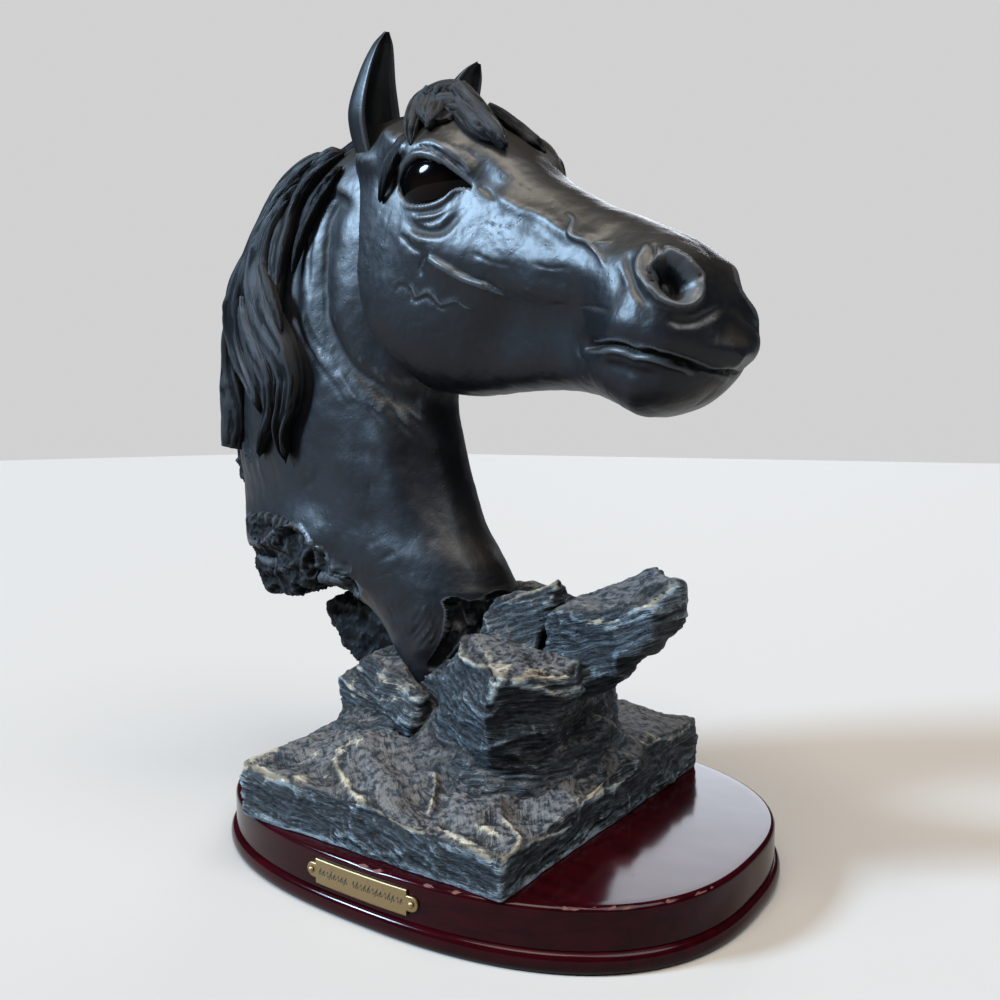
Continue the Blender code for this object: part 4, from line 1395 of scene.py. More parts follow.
MANE = (
    Lock("mane_base", ((344, 154), (320, 170), (298, 194), (280, 226), (268, 262), (260, 300), (260, 340),
        (264, 380), (266, 420)), (4, 9, 14, 18, 20, 23, 25, 19, 8), -3.0, 6.0, 3.0),
    Lock("mane_flap", ((234, 312), (229, 342), (230, 372), (233, 400), (234, 425), (232, 447)),
        (6, 9, 10, 13, 14, 11), -1.0, 5.0, 1.6, 1.6, True),
    Lock("mane_outer", ((336, 153), (308, 170), (284, 196), (268, 228), (253, 262), (242, 294), (239, 326),
        (245, 356), (255, 386), (262, 416)), (5, 9, 12, 13, 13, 14, 15, 13, 9, 1), 0.5, 7.0, 2.6, 2.2),
    Lock("mane_crown",
        ((348, 152), (330, 164), (312, 182), (298, 206), (288, 234), (281, 264), (278, 296), (281, 328)),
        (5, 9, 10, 11, 10, 9, 7, 1), 1.5, 6.0, 2.4, 1.7),
    Lock("mane_inner", ((344, 166), (330, 184), (318, 204), (308, 226), (299, 250), (293, 276)),
        (2, 5, 6, 5, 4, 1), 0.8, 3.5, 1.4, 1.0),
    Lock("mane_fold", ((250, 290), (254, 322), (264, 352), (274, 382), (274, 410), (266, 438), (261, 458)),
        (6, 12, 14, 12, 9, 6, 1), 1.5, 7.0, 2.0),
    Lock("mane_sweep", ((310, 180), (292, 204), (277, 232), (268, 262), (266, 294), (273, 326), (286, 352),
        (293, 378), (291, 404), (285, 430), (289, 464)), (3, 8, 12, 15, 17, 17, 15, 12, 10, 7, 1), 2.6, 8.0,
        3.0, 2.2),
    Lock("mane_wisp", ((270, 240), (271, 264), (277, 288), (285, 312), (290, 334)), (2, 4, 5, 4, 1), 6.5,
        3.0, 1.0, 0.9),
)

FORELOCK = (
    Lock("forelock_root", ((404, 136), (420, 116), (442, 104), (466, 110), (488, 128), (504, 148)),
        (4, 14, 17, 16, 12, 2), -4.0, 10.0, 2.5, 1.5),
    Lock("forelock_strap", ((420, 130), (405, 141), (393, 157), (385, 177), (379, 203)), (4, 7, 7, 5, 1),
        -0.6, 3.0, 1.0, 0.6),
    Lock("forelock_far", ((484, 107), (500, 116), (517, 128), (533, 141), (547, 153)), (4, 6, 7, 6, 1),
        -1.0, 4.0, 2.0, 1.2),
    Lock("forelock_crest", ((447, 92), (445, 102), (441, 112), (438, 123)), (12, 22, 25, 14), 0.0, 4.0, 5.0,
        1.6, True),
    Lock("forelock_near", ((432, 96), (422, 107), (416, 120), (413, 134), (413, 148)), (9, 12, 10, 7, 1),
        1.2, 4.4, 2.6, 1.5),
    Lock("forelock_middle", ((442, 95), (438, 107), (434, 118), (429, 132)), (9, 11, 10, 2), 2.0, 4.0, 2.4,
        1.5),
    Lock("forelock_low", ((450, 94), (456, 106), (464, 118), (476, 131), (492, 144)), (9, 11, 10, 8, 1),
        1.6, 4.4, 2.4, 1.5),
    Lock("forelock_cap", ((411, 116), (420, 104), (434, 95), (449, 91), (461, 94), (470, 106)),
        (3, 6, 8, 8, 6, 2), 0.6, 4.0, 1.4, 1.0),
    Lock("forelock_main", ((454, 93), (463, 103), (475, 117), (490, 133), (507, 151)), (10, 12, 12, 10, 2),
        2.2, 5.0, 3.0, 1.8),
)

POLL_HAIR = (
    Lock("poll_crest", ((-11, 1, 322), (-31, 4, 328), (-49, 7, 329.5), (-68, 10, 329), (-88, 12, 327),
        (-106, 11, 319), (-126, 9, 305), (-142, 7, 286), (-154, 5, 265), (-165, 3, 240), (-173, 2, 214)),
        (4, 8, 10, 11, 11, 11, 10, 9, 7, 4, 1), -1.2, 4.0, 3.0, 1.5),
    Lock("poll_far",
        ((-15, 10, 320), (-32, 15, 324), (-52, 18, 324), (-75, 21, 319), (-97, 23, 308), (-114, 24, 293)),
        (2, 6, 8, 8, 6, 1), -1.5, 4.0, 2.4, 1.4, False, 0.5),
    Lock("forelock_beyond",
        ((-38, 7, 328), (-20, 8, 325.5), (1, 8, 317.5), (16, 6, 308), (30, 3, 296.5), (40, -1, 287)),
        (3, 8, 10, 11, 8, 1), -2.4, 3.4, 3.0, 1.3, False, 0.3),
    Lock("forelock_bridge", ((-44, 2, 327), (-28, -3, 326), (-13, -8, 321), (0, -11, 314), (11, -12, 306)),
        (2, 8, 12, 12, 4), -1.0, 4.0, 3.0, 1.6, False, -0.3),
)


def remeshed(bm: bmesh.types.BMesh, voxel: float) -> Mesh:
    """Takes a closed mesh and gives it back as even small quads; the first mesh is used up.

    Args:
        bm: The closed mesh.
        voxel: Size of the quads in metres.

    Returns:
        The new mesh.
    """
    mesh = bpy.data.meshes.new("rough")
    bm.to_mesh(mesh)
    bm.free()
    rough = add_object("rough", mesh)
    melt = rough.modifiers.new("melt", "REMESH")
    melt.mode = "VOXEL"
    melt.voxel_size = voxel
    bpy.context.view_layer.update()
    graph = bpy.context.evaluated_depsgraph_get()
    result = bpy.data.meshes.new_from_object(rough.evaluated_get(graph))
    bpy.data.objects.remove(rough, do_unlink=True)
    bpy.data.meshes.remove(mesh)
    return result


def cut_level(mesh: Mesh, level: float) -> None:
    """Cuts off what lies under a level and closes the cut.

    Args:
        mesh: The mesh to cut.
        level: Height in metres.
    """
    bm = bmesh.new()
    bm.from_mesh(mesh)
    if min(vert.co.z for vert in bm.verts) < level:
        everything = bm.verts[:] + bm.edges[:] + bm.faces[:]
        bmesh.ops.bisect_plane(bm, geom=everything, dist=1e-6, plane_co=(0, 0, level), plane_no=(0, 0, -1),
                               clear_outer=True)
        bmesh.ops.holes_fill(bm, edges=[edge for edge in bm.edges if edge.is_boundary])
        bmesh.ops.triangulate(bm, faces=[face for face in bm.faces if len(face.verts) > 4])
    bm.to_mesh(mesh)
    bm.free()


@dataclass(frozen=True)
class Rock:
    """A broken block, drawn as the corners that it spans, in figure millimetres."""

    name: str
    blocks: tuple[Corners, ...]
    seed: int
    voxel: float = 0.92
    rounding: int = 5  # rounds of smoothing on the block's corners
    swell: float = 2.2  # broad unevenness
    scallop: float = 20.0  # size of the hollows that the breaks leave
    scallop_depth: float = 2.0
    layer: float = 2.1  # thickness of the rock's beds
    layer_depth: float = 1.2
    chip: float = 0.7
    top_relief: float = 2.2  # depth of the dents on level faces
    crumple: float = 0.0  # above zero sharp valleys between lumps, below zero sharp ridges between pits
    tilt: Pair = (0.0, 0.0)  # rise of the beds along X and Y
    swirl: float = 0.5  # direction of the strokes over the top, in radians from X
    marks: tuple[Mark, ...] = ()
    creamed: tuple[tuple[float, Line], ...] = ()  # width in pixels and line of each rubbed ridge

    def skin(self, figure: Figure) -> Mesh:
        """The blocks' hulls, melted into one skin of even small quads.

        Args:
            figure: The scale.

        Returns:
            The mesh, in metres.
        """
        bm = bmesh.new()
        for corners in self.blocks:
            verts = [bm.verts.new(point) for point in figure.metres(corners)]
            hull = bmesh.ops.convex_hull(bm, input=verts)
            inner = [item for item in hull["geom_interior"] if isinstance(item, bmesh.types.BMVert)]
            bmesh.ops.delete(bm, geom=inner, context="VERTS")
        bmesh.ops.recalc_face_normals(bm, faces=bm.faces)
        return remeshed(bm, self.voxel * figure.unit)

    def stroke_way(self, place: Array, soft: Array) -> Array:
        """The coordinate across the carved strokes, in millimetres.

        On steep faces it is the height over the tilted beds, and on level ones a direction in plan; both
        wander with broad noise.

        Args:
            place: Points in figure millimetres.
            soft: Their smoothed normals.

        Returns:
            One number for each point.
        """
        x, y, z = place.T
        up = z - self.tilt[0] * x - self.tilt[1] * y + 3.4 * noise(place / 24.0, self.seed + 5, 2)
        wander = 13.0 * noise(joined(x / 34.0, y / 34.0, 0.0), self.seed + 7, 2)
        over = x * math.cos(self.swirl) + y * math.sin(self.swirl) + wander
        level = smooth_step(0.55, 0.85, soft[:, 2])
        return up * (1 - level) + over * level

    def lift(self, place: Array, soft: Array) -> Array:
        """How far each point of the smooth block moves out to become stone.

        It is the sum of: broad noise; hollows, the squared distance to the nearest of jittered cell points,
        which meet in sharp ridges; beds, noise ridged across the strokes and strongest on steep faces;
        chips of fine ridged noise; dents on level faces, the size of noise; lumps where the rock has them;
        and its own marks.

        Args:
            place: Points in figure millimetres.
            soft: Their smoothed normals.

        Returns:
            Millimetres, less near the plinth.
        """
        seed = self.seed
        warped = place + 4.0 * np.stack([noise(place / 17.0, seed + k, 2) for k in range(3)], axis=-1)
        first, small = (cell_distance(warped / (self.scallop * np.array(size)), seed + shift)
                        for size, shift in (((1.0, 1.0, 0.6), 11), ((0.36, 0.36, 0.2), 17)))
        x, y, _ = place.T
        bed = self.stroke_way(place, soft) / self.layer
        beds = noise(joined(x / 15, y / 15, bed), seed + 23, 3, ridged=True)
        chips = noise(warped / 4.2, seed + 31, 3, ridged=True)
        patchy = smooth_step(-0.25, 0.5, noise(place / 16.0, seed + 41, 2))
        rough = np.abs(noise(warped / 17.0, seed + 43)) + 0.4 * np.abs(noise(warped / 7.0, seed + 47))
        steep = smooth_step(0.9, 0.5, soft[:, 2])
        lift = (self.swell * noise(place / 24.0, seed + 51, 2)
                + self.scallop_depth * (np.minimum(first, 0.9) ** 2 / 0.5 - 0.7)
                + 0.45 * self.scallop_depth * patchy * (np.minimum(small, 0.9) ** 2 / 0.5 - 0.7)
                + self.layer_depth * beds * (0.15 + 0.85 * steep)
                + self.chip * (chips - 0.2) * (0.35 + patchy) * (0.45 + 0.55 * steep)
                - self.top_relief * (rough - 0.4) * (1 - steep))
        if self.crumple:
            lift = lift + self.crumple * crumpled(place / 15.0, seed + 61)
        pixels = PHOTO.project(place)[0]
        seen = smooth_step(0.02, 0.2, PHOTO.facing(place, soft))
        for mark in self.marks:
            lift = lift + mark.depth_at(pixels) * seen
        return lift * (0.3 + 0.7 * smooth_step(0.0, 2.5, place[:, 2]))

    def build(self, figure: Figure) -> Object:
        """Makes the stone, with its attributes edge, ridge, top, bed and rubbed.

        Args:
            figure: The scale.

        Returns:
            The stone.
        """
        mesh = self.skin(figure)
        points, normals, edges = mesh_arrays(mesh)
        soft = soft_normals(normals, edges, 10)
        for _ in range(self.rounding):
            points = 0.4 * points + 0.6 * neighbour_mean(points, edges)
        points = points + (self.lift(figure.drawn(points), soft) * figure.unit)[:, None] * soft
        mesh.vertices.foreach_set("co", points.astype(np.float32).ravel())
        mesh.update()
        mesh.name = self.name
        stone = add_object(self.name, mesh)
        cut_level(mesh, figure.base)
        mesh.shade_smooth()
        mark_edges(stone, scale=0.00030, rounds=5)
        mark_edges(stone, scale=0.0014, rounds=60, soften=3, name="ridge")
        points, normals, edges = mesh_arrays(mesh)
        soft = soft_normals(normals, edges, 12)
        place = figure.drawn(points)
        pixels = PHOTO.project(place)[0]
        rubbed = np.zeros(len(place))
        for width, line in self.creamed:
            rubbed = np.maximum(rubbed, Mark(ROLL, width, 1.0, line, 0.12).depth_at(pixels))
        set_attribute(mesh, "bed", self.stroke_way(place, soft))
        set_attribute(mesh, "top", np.clip(0.6 * soft[:, 2] + 0.4 * normals[:, 2], -1, 1) * 0.5 + 0.5)
        set_attribute(mesh, "rubbed", rubbed * smooth_step(-0.1, 0.1, PHOTO.facing(place, normals)))
        return stone


@dataclass(frozen=True)
class Swell:
    """A round rise of the slab's top: its height, middle and reach along X and Y, in figure millimetres."""

    height: float
    x: float
    reach_x: float
    y: float
    reach_y: float

    def at(self, x: Array, y: Array) -> Array:
        """The height times exp(-(offset / reach) squared) along both axes."""
        across, along = (x - self.x) / self.reach_x, (y - self.y) / self.reach_y
        return self.height * np.exp(-(across**2) - along**2)


@dataclass(frozen=True)
class Slab(Rock):
    """The slab of rock under everything: straight broken walls and a warped top, in figure millimetres."""

    name: str = "slab"
    blocks: tuple[Corners, ...] = ()
    seed: int = 77
    voxel: float = 1.0
    rounding: int = 4
    swell: float = 2.4
    scallop: float = 24.0
    scallop_depth: float = 1.9
    layer: float = 2.0
    chip: float = 0.6
    top_relief: float = 2.4
    tilt: Pair = (-0.18, 0.10)
    swirl: float = 0.9
    length: float = 142.0
    width: float = 177.0
    shift_x: float = -2.0
    shift_y: float = -4.5
    corner_heights: Numbers = (24.0, 15.0, 25.0, 27.0)  # near left, near right, far right, far left
    swells: tuple[Swell, ...] = (
        Swell(15, 2, 50, -2, 56), Swell(7, -50, 26, -34, 34), Swell(7, -28, 14, -62, 16),
        Swell(5, 54, 14, 26, 30), Swell(-4, 22, 9, -72, 20))
    steps: int = 60  # of the top's grid
    marks: tuple[Mark, ...] = (
        Mark(SHARP, 4.0, 2.6, ((349, 745), (336, 756), (338, 770), (353, 793), (369, 806), (386, 816)),
            0.1),
        Mark(ROLL, 15, 3.4, ((362, 752), (378, 772), (392, 790)), 0.0),
        Mark(SHARP, 2.8, 1.6, ((386, 816), (402, 826), (422, 833), (432, 823), (430, 818)), 0.1),
        Mark(SHARP, 3.0, 2.0, ((430, 772), (435, 782), (432, 800), (427, 815)), 0.15),
        Mark(SHARP, 3.0, 1.9, ((430, 818), (448, 833), (465, 843), (481, 853), (496, 866)), 0.1),
        Mark(SHARP, 2.8, 1.8, ((430, 818), (453, 815), (473, 816), (493, 807), (504, 802)), 0.15),
        Mark(ROLL, 9, -2.2, ((446, 824), (470, 830), (490, 842)), 0.0),
        Mark(SHARP, 3.4, 2.2, ((504, 802), (500, 815), (514, 830), (519, 843), (508, 856)), 0.1),
        Mark(ROLL, 14, -3.6, ((520, 800), (540, 820), (552, 826)), 0.0),
        Mark(SHARP, 2.8, 1.8,
            ((571, 790), (565, 779), (588, 762), (608, 756), (631, 762), (626, 777), (583, 807)), 0.1),
        Mark(ROLL, 10, -2.2, ((578, 786), (604, 772)), 0.0),
        Mark(SHARP, 2.4, 1.0, ((657, 741), (645, 732), (652, 738)), 0.0),
        Mark(SHARP, 1.4, 0.7, ((422, 833), (435, 848), (450, 866), (465, 879)), 0.1),
        Mark(SHARP, 1.4, 0.6, ((371, 810), (376, 828), (390, 832)), 0.1),
    )
    creamed: tuple[tuple[float, Line], ...] = (
        (7.0, ((366, 739), (349, 745), (336, 756), (338, 770), (353, 793), (369, 806))),
        (2.0, ((369, 806), (386, 816), (402, 826), (422, 833), (432, 823))),
        (3.0, ((430, 772), (435, 782), (432, 800), (427, 815), (432, 823))),
        (2.6, ((432, 823), (448, 833), (465, 843), (481, 853), (496, 864))),
        (7.0, ((470, 826), (488, 830), (498, 842), (488, 852))),
        (3.0, ((499, 864), (519, 843), (514, 830), (499, 815))),
        (2.0, ((519, 843), (544, 838), (565, 830), (578, 820), (583, 807), (613, 790), (634, 769),
            (649, 754))),
        (4.0, ((583, 800), (606, 786), (626, 772))),
        (4.0, ((640, 745), (649, 733), (657, 741), (649, 754))),
        (2.0, ((657, 741), (677, 736), (695, 722))),
        (5.0, ((237, 766), (260, 768), (270, 775), (283, 781), (292, 779))),
        (8.0, ((245, 760), (262, 752), (280, 748))),
        (5.0, ((292, 779), (306, 776), (320, 778), (337, 776))),
        (8.0, ((296, 764), (310, 757), (322, 752))),
    )

    def top(self, x: Array, y: Array) -> Array:
        """Height of the top: a plane warped between its four corners, with swells and a valley.

        Args:
            x: Places along X, in figure millimetres.
            y: Places along Y.

        Returns:
            Heights.
        """
        u = (x - self.shift_x) / self.length + 0.5
        v = (y - self.shift_y) / self.width + 0.5
        shares = ((1 - u) * (1 - v), u * (1 - v), u * v, (1 - u) * v)
        plane = sum(share * height for share, height in zip(shares, self.corner_heights))
        return plane + sum(swell.at(x, y) for swell in self.swells)

    def skin(self, figure: Figure) -> Mesh:
        """The top's grid, the walls and the underside, melted into one skin of even small quads.

        Args:
            figure: The scale.

        Returns:
            The mesh, in metres.
        """
        u = np.linspace(-0.5, 0.5, self.steps)
        x, y = np.meshgrid(u * self.length + self.shift_x, u * self.width + self.shift_y, indexing="ij")
        rough = 2.2 * noise(joined(x / 19, y / 19, 0), 71, 2)
        upper = joined(x, y, self.top(x, y) + rough).reshape(-1, 3)
        lower = upper * (1, 1, 0) + (0, 0, -4)
        count = len(upper)
        number = np.arange(count).reshape(self.steps, self.steps)
        quads = joined(number[:-1, :-1], number[1:, :-1], number[1:, 1:], number[:-1, 1:]).reshape(-1, 4)
        rim = np.concatenate([number[:-1, 0], number[-1, :-1], number[:0:-1, -1], number[0, :0:-1]])
        after = np.roll(rim, -1)
        faces = np.vstack([quads, quads[:, ::-1] + count, joined(rim, rim + count, after + count, after)])
        bm = bmesh.new()
        verts = [bm.verts.new(point) for point in figure.metres(np.vstack([upper, lower]))]
        for face in faces.tolist():
            bm.faces.new([verts[k] for k in face])
        bmesh.ops.recalc_face_normals(bm, faces=bm.faces)
        return remeshed(bm, self.voxel * figure.unit)


BIG_RIDGE: Line = ((459, 645), (469, 661), (479, 665), (490, 667), (499, 675), (507, 680))

ROCKS = (
    Rock("rock_big", (
        ((8, -32, 83), (-10, -26, 62), (46, -58, 74), (62, -24, 76), (66, -30, 70), (38, -62, 60),
         (34, -52, 32), (-22, -30, 34), (46, -40, 26), (10, -5, 78), (54, 2, 58), (-20, -5, 40),
         (44, 0, 26)),
        ((-34, -42, 22), (-14, -58, 20), (20, -66, 17), (46, -54, 15), (64, -26, 16), (66, 10, 18),
         (58, 34, 22), (-8, -38, 44), (24, -46, 40), (48, -28, 40), (54, 8, 44), (-26, -16, 50),
         (10, 10, 50)),
        ((-36, -20, 60), (-22, -26, 60), (-8, -24, 68), (-30, -30, 40), (-6, -34, 44), (-40, -8, 40),
         (-4, -6, 60)),
    ), 101, voxel=0.98, tilt=(-0.15, 0.1), marks=(
        Mark(SHARP, 3.5, 1.6, BIG_RIDGE, 0.1),
        Mark(SHARP, 3.0, 1.4,
            ((507, 680), (527, 688), (544, 689), (555, 695), (575, 691), (584, 682)), 0.1),
        Mark(SHARP, 3.0, 1.2, ((507, 680), (496, 688), (493, 699), (490, 707)), 0.1),
        Mark(ROLL, 9, -1.5, ((500, 720), (530, 716), (560, 706)), 0.2),
    ), creamed=(
        (3.5, BIG_RIDGE),
        (9.0, ((482, 652), (500, 664), (512, 670))),
        (4.0, ((507, 680), (521, 681), (527, 688), (544, 689), (555, 695), (575, 691), (584, 682))),
        (9.0, ((520, 668), (545, 676), (572, 678))),
        (5.0, ((505, 682), (496, 688), (493, 699), (490, 705))),
    )),
    Rock("rock_thrust", (
        ((40, -15, 92), (30, 16, 94), (75, 20, 112), (102, -10, 112), (94, -20, 102), (104, -8, 96),
         (93, -20, 88), (87, -12, 79), (70, -12, 60), (60, 20, 70), (36, 20, 50), (40, -20, 50)),
        ((10, -14, 97), (42, -8, 108), (42, -2, 102), (36, -14, 84), (34, -20, 72), (6, -28, 72),
         (8, 6, 92), (34, 6, 98), (20, 8, 60)),
    ), 131, swell=1.6, tilt=(0.3, 0.1), swirl=1.4, creamed=(
        (2.6, ((557, 621), (585, 622), (601, 621), (613, 621), (626, 615), (649, 606), (664, 593),
         (675, 584), (685, 583))),
        (2.2, ((502, 602), (530, 592), (556, 584), (549, 602))),
        (4.0, ((600, 632), (625, 626), (648, 612))),
    )),
    Rock("rock_left", (
        ((-53, -32, 65), (-72, -28, 52), (-72, -33, 41), (-66, -34, 30), (-17, -42, 38), (-14, -38, 52),
         (-34, -28, 63), (-76, 0, 50), (-60, 8, 62), (-20, 0, 30), (-72, 4, 20), (-20, -38, 30)),
        ((-78, -30, 22), (-62, -50, 24), (-36, -54, 26), (-20, -46, 26), (-66, -34, 38), (-44, -42, 38),
         (-30, -40, 38), (-80, 6, 28), (-70, 0, 40), (-30, 0, 30)),
        ((-98, 4, 66), (-92, 30, 60), (-64, 34, 74), (-56, 36, 20), (-70, 6, 20), (-50, 10, 84),
         (-74, 30, 26)),
    ), 151, tilt=(-0.2, 0.0), creamed=(
        (3.0, ((345, 694), (370, 697), (400, 699), (424, 699))),
        (4.0, ((362, 664), (355, 678), (348, 692))),
        (5.0, ((372, 674), (392, 684), (410, 694))),
    )),
    Rock("rock_back", (
        ((-70, -18, 5), (-62, 38, 5), (56, 42, 5), (55, -20, 5), (-58, -10, 46), (-50, 28, 66),
         (44, 34, 72), (46, -14, 78), (-30, -18, 60)),
        ((-34, 6, 20), (44, 8, 20), (-44, 42, 12), (50, 48, 12), (-30, 12, 88), (-6, 26, 100),
         (30, 12, 102), (-26, 34, 72), (38, 38, 84), (10, 36, 92)),
    ), 171, voxel=1.6, tilt=(0.1, 0.2)),
)

TORN_PARTS = (
    Rock("torn_end", (
        ((-163, -10, 118), (-160, -8, 97), (-152, -8, 85), (-138, -12, 82), (-118, -20, 90),
         (-98, -27, 92), (-90, -27, 104), (-100, -29, 122), (-122, -30, 130), (-146, -26, 128),
         (-158, 12, 116), (-150, 14, 90), (-120, 20, 90), (-98, 20, 98), (-112, 24, 124), (-158, -16, 126)),
        ((-178, -4, 172), (-176, -6, 150), (-166, -10, 136), (-168, 10, 140), (-176, 8, 168),
         (-150, -20, 168), (-150, 20, 168), (-148, -16, 134), (-148, 16, 136)),
    ), 191, voxel=1.0, rounding=8, swell=2.0, scallop_depth=0.6, layer_depth=0.0, chip=0.3, crumple=-6.5),
    Rock("torn_lump", (
        ((-121, 8, 72), (-114, 0, 80), (-98, 0, 88), (-92, -4, 52), (-112, 14, 64), (-100, 24, 84),
         (-86, 26, 70), (-84, 12, 44), (-62, -8, 86), (-52, -6, 46), (-54, 14, 84)),
    ), 197, voxel=1.1, rounding=8, swell=1.5, scallop=14.0, scallop_depth=1.5, layer_depth=0.7, chip=0.6,
        crumple=-2.6, tilt=(0.8, 0.0)),
)


class Value:
    """A shader socket on which sums are written as Python: each operator adds its Math node."""

    def __init__(self, shade: Shade, socket: bpy.types.NodeSocket) -> None:
        """Keeps the socket and the material that it belongs to."""
        self.shade = shade
        self.socket = socket

    def _with(self, operation: str, first: Value | float, second: Value | float) -> Value:
        """Adds one Math node."""
        return self.shade.add("ShaderNodeMath", {"operation": operation}, {0: first, 1: second})

    def __add__(self, other: Value | float) -> Value:
        """Sum."""
        return self._with("ADD", self, other)

    def __sub__(self, other: Value | float) -> Value:
        """Difference."""
        return self._with("SUBTRACT", self, other)

    def __rsub__(self, other: float) -> Value:
        """Number less socket."""
        return self._with("SUBTRACT", other, self)

    def __mul__(self, other: Value | float) -> Value:
        """Product."""
        return self._with("MULTIPLY", self, other)

    __radd__ = __add__
    __rmul__ = __mul__

    def between(self, low: float, high: float) -> Value:
        """0 below low, 1 above high and smooth between."""
        return self.shade.add("ShaderNodeMapRange", {"interpolation_type": "SMOOTHSTEP"}, {
            "Value": self, "From Min": low, "From Max": high})


class Shade:
    """The nodes of one material."""

    def __init__(self, name: str) -> None:
        """Starts the material with its Principled shader."""
        self.material = bpy.data.materials.new(name)
        self.material.use_nodes = True
        self.tree = self.material.node_tree
        self.shader = self.tree.nodes["Principled BSDF"]

    def add(self, kind: str, settings: dict | None = None, values: dict | None = None,
            output: int | str = 0) -> Value:
        """Adds a node.

        Args:
            kind: The node's type name.
            settings: Properties, set first.
            values: For each socket's name or number, a number, a colour or a linked value.
            output: Which output to give back.

        Returns:
            The output, ready for sums.
        """
        node = self.tree.nodes.new(kind)
        for key, setting in (settings or {}).items():
            setattr(node, key, setting)
        for key, value in (values or {}).items():
            self._feed(node.inputs[key], value)
        return Value(self, node.outputs[output])

    def _feed(self, socket: bpy.types.NodeSocket, value: object) -> None:
        """Links a value to a socket, or sets the socket's own number or colour.

        Args:
            socket: Where it goes.
            value: What goes there.
        """
        if isinstance(value, Value):
            self.tree.links.new(value.socket, socket)
        elif isinstance(value, tuple) and socket.type == "RGBA":
            socket.default_value = (*value, 1.0)
        else:
            socket.default_value = value

    def set(self, **values: object) -> None:
        """Feeds the shader's own sockets, underscores standing for spaces."""
        for key, value in values.items():
            self._feed(self.shader.inputs[key.replace("_", " ")], value)

    def place(self, scale: Triple = (1, 1, 1)) -> Value:
        """Object coordinates, stretched."""
        source = self.add("ShaderNodeTexCoord", None, None, "Object")
        return self.add("ShaderNodeMapping", None, {"Vector": source, "Scale": scale})

    def along(self, scale: Triple) -> Value:
        """The piece's own UV map, stretched."""
        source = self.add("ShaderNodeUVMap", {"uv_map": "along"})
        return self.add("ShaderNodeMapping", None, {"Vector": source, "Scale": scale})

    def attribute(self, name: str) -> Value:
        """A number stored on the mesh."""
        return self.add("ShaderNodeAttribute", {"attribute_name": name}, None, "Fac")

    def grain(self, where: Value, scale: float, detail: float = 3.0, rough: float = 0.55) -> Value:
        """Cloudy noise from 0 to 1."""
        return self.add("ShaderNodeTexNoise", None, {
            "Vector": where, "Scale": scale, "Detail": detail, "Roughness": rough})

    def bend(self, where: Value, scale: float, reach: float) -> Value:
        """Coordinates pushed about by cloudy noise, by up to half the reach."""
        push = self.add("ShaderNodeTexNoise", None, {
            "Vector": where, "Scale": scale, "Detail": 2.0}, "Color")
        return self.add("ShaderNodeVectorMath", {"operation": "MULTIPLY_ADD"}, {
            0: push, 1: (reach, reach, reach), 2: where})

    def mix(self, share: Value | float, first: object, second: object) -> Value:
        """Blends two colours."""
        return self.add("ShaderNodeMix", {"data_type": "RGBA"}, {0: share, 6: first, 7: second}, 2)

    def bump(self, height: Value, distance: float) -> Value:
        """A normal from a height in units of distance, in metres."""
        return self.add("ShaderNodeBump", None, {"Height": height, "Distance": distance, "Strength": 1.0})


@dataclass(frozen=True)
class Finish:
    """A paint, lacquer or metal; each kind adds its own nodes."""

    name: str

    def make(self) -> Material:
        """Builds the material."""
        shade = Shade(self.name)
        self.paint(shade)
        return shade.material

    def paint(self, shade: Shade) -> None:
        """Adds the nodes of this kind of finish."""
        raise NotImplementedError


@dataclass(frozen=True)
class ResinFinish(Finish):
    """Satin blue-black paint over resin, brown as painted warm top light, pale on sharp edges, painted
    shade in hollows.
    """

    name: str = "casting_paint"
    dark: Triple = (0.0011, 0.0015, 0.0025)
    blue: Triple = (0.0022, 0.0032, 0.0054)
    # brown of faces that look up: painted warm light from above
    brown: Triple = (0.0105, 0.0085, 0.0062)
    # pale of sharp edges: dry-brushed paint and painted highlight
    rim: Triple = (0.075, 0.080, 0.085)
    # painted shade in hollows
    hollow_shade: Triple = (0.0010, 0.0012, 0.0018)
    # near black of the torn end: painted shade in its recess
    torn: Triple = (0.0010, 0.0012, 0.0016)
    gloss: float = 0.41
    shine: float = 0.27

    def paint(self, shade: Shade) -> None:
        """Adds the nodes.

        Args:
            shade: The material.
        """
        where = shade.place()
        cloud = shade.grain(where, 38.0)
        fine = shade.grain(where, 420.0, 2.0)
        edge = shade.attribute("edge")
        warm_top_light = shade.attribute("warm_top_light")
        colour = shade.mix(cloud.between(0.35, 0.7), self.dark, self.blue)
        # Brown where the surface looks up: painted warm light from above.
        colour = shade.mix((warm_top_light * (0.45 + cloud)).between(0.15, 0.9), colour, self.brown)
        # Pale on sharp ridges: dry-brushed paint and painted highlights.
        dry_brush_and_highlight = (edge + (fine - 0.5) * 0.5).between(0.42, 0.95)
        colour = shade.mix(dry_brush_and_highlight * 0.38, colour, self.rim)
        torn = shade.attribute("torn")
        # Darker in hollows: painted shade.
        hollow = (0.0 - edge).between(0.1, 0.8)
        colour = shade.mix(hollow * 0.75, colour, self.hollow_shade)
        # Near black on the torn end, without the brown and the pale edges: painted shade in the recess.
        colour = shade.mix(torn * (0.9 - dry_brush_and_highlight * 0.5), colour, self.torn)
        pits = shade.add("ShaderNodeTexVoronoi", {"feature": "F1"}, {"Vector": where, "Scale": 260.0})
        height = fine * 0.5 + shade.grain(where, 130.0, 4.0) + pits.between(0.0, 0.22) * 0.35
        rough = self.gloss + (cloud - 0.5) * 0.16 + hollow * 0.2 + torn * 0.22
        shade.set(Base_Color=colour, Roughness=rough, Specular_IOR_Level=self.shine,
                  Normal=shade.bump(height, 0.00016))


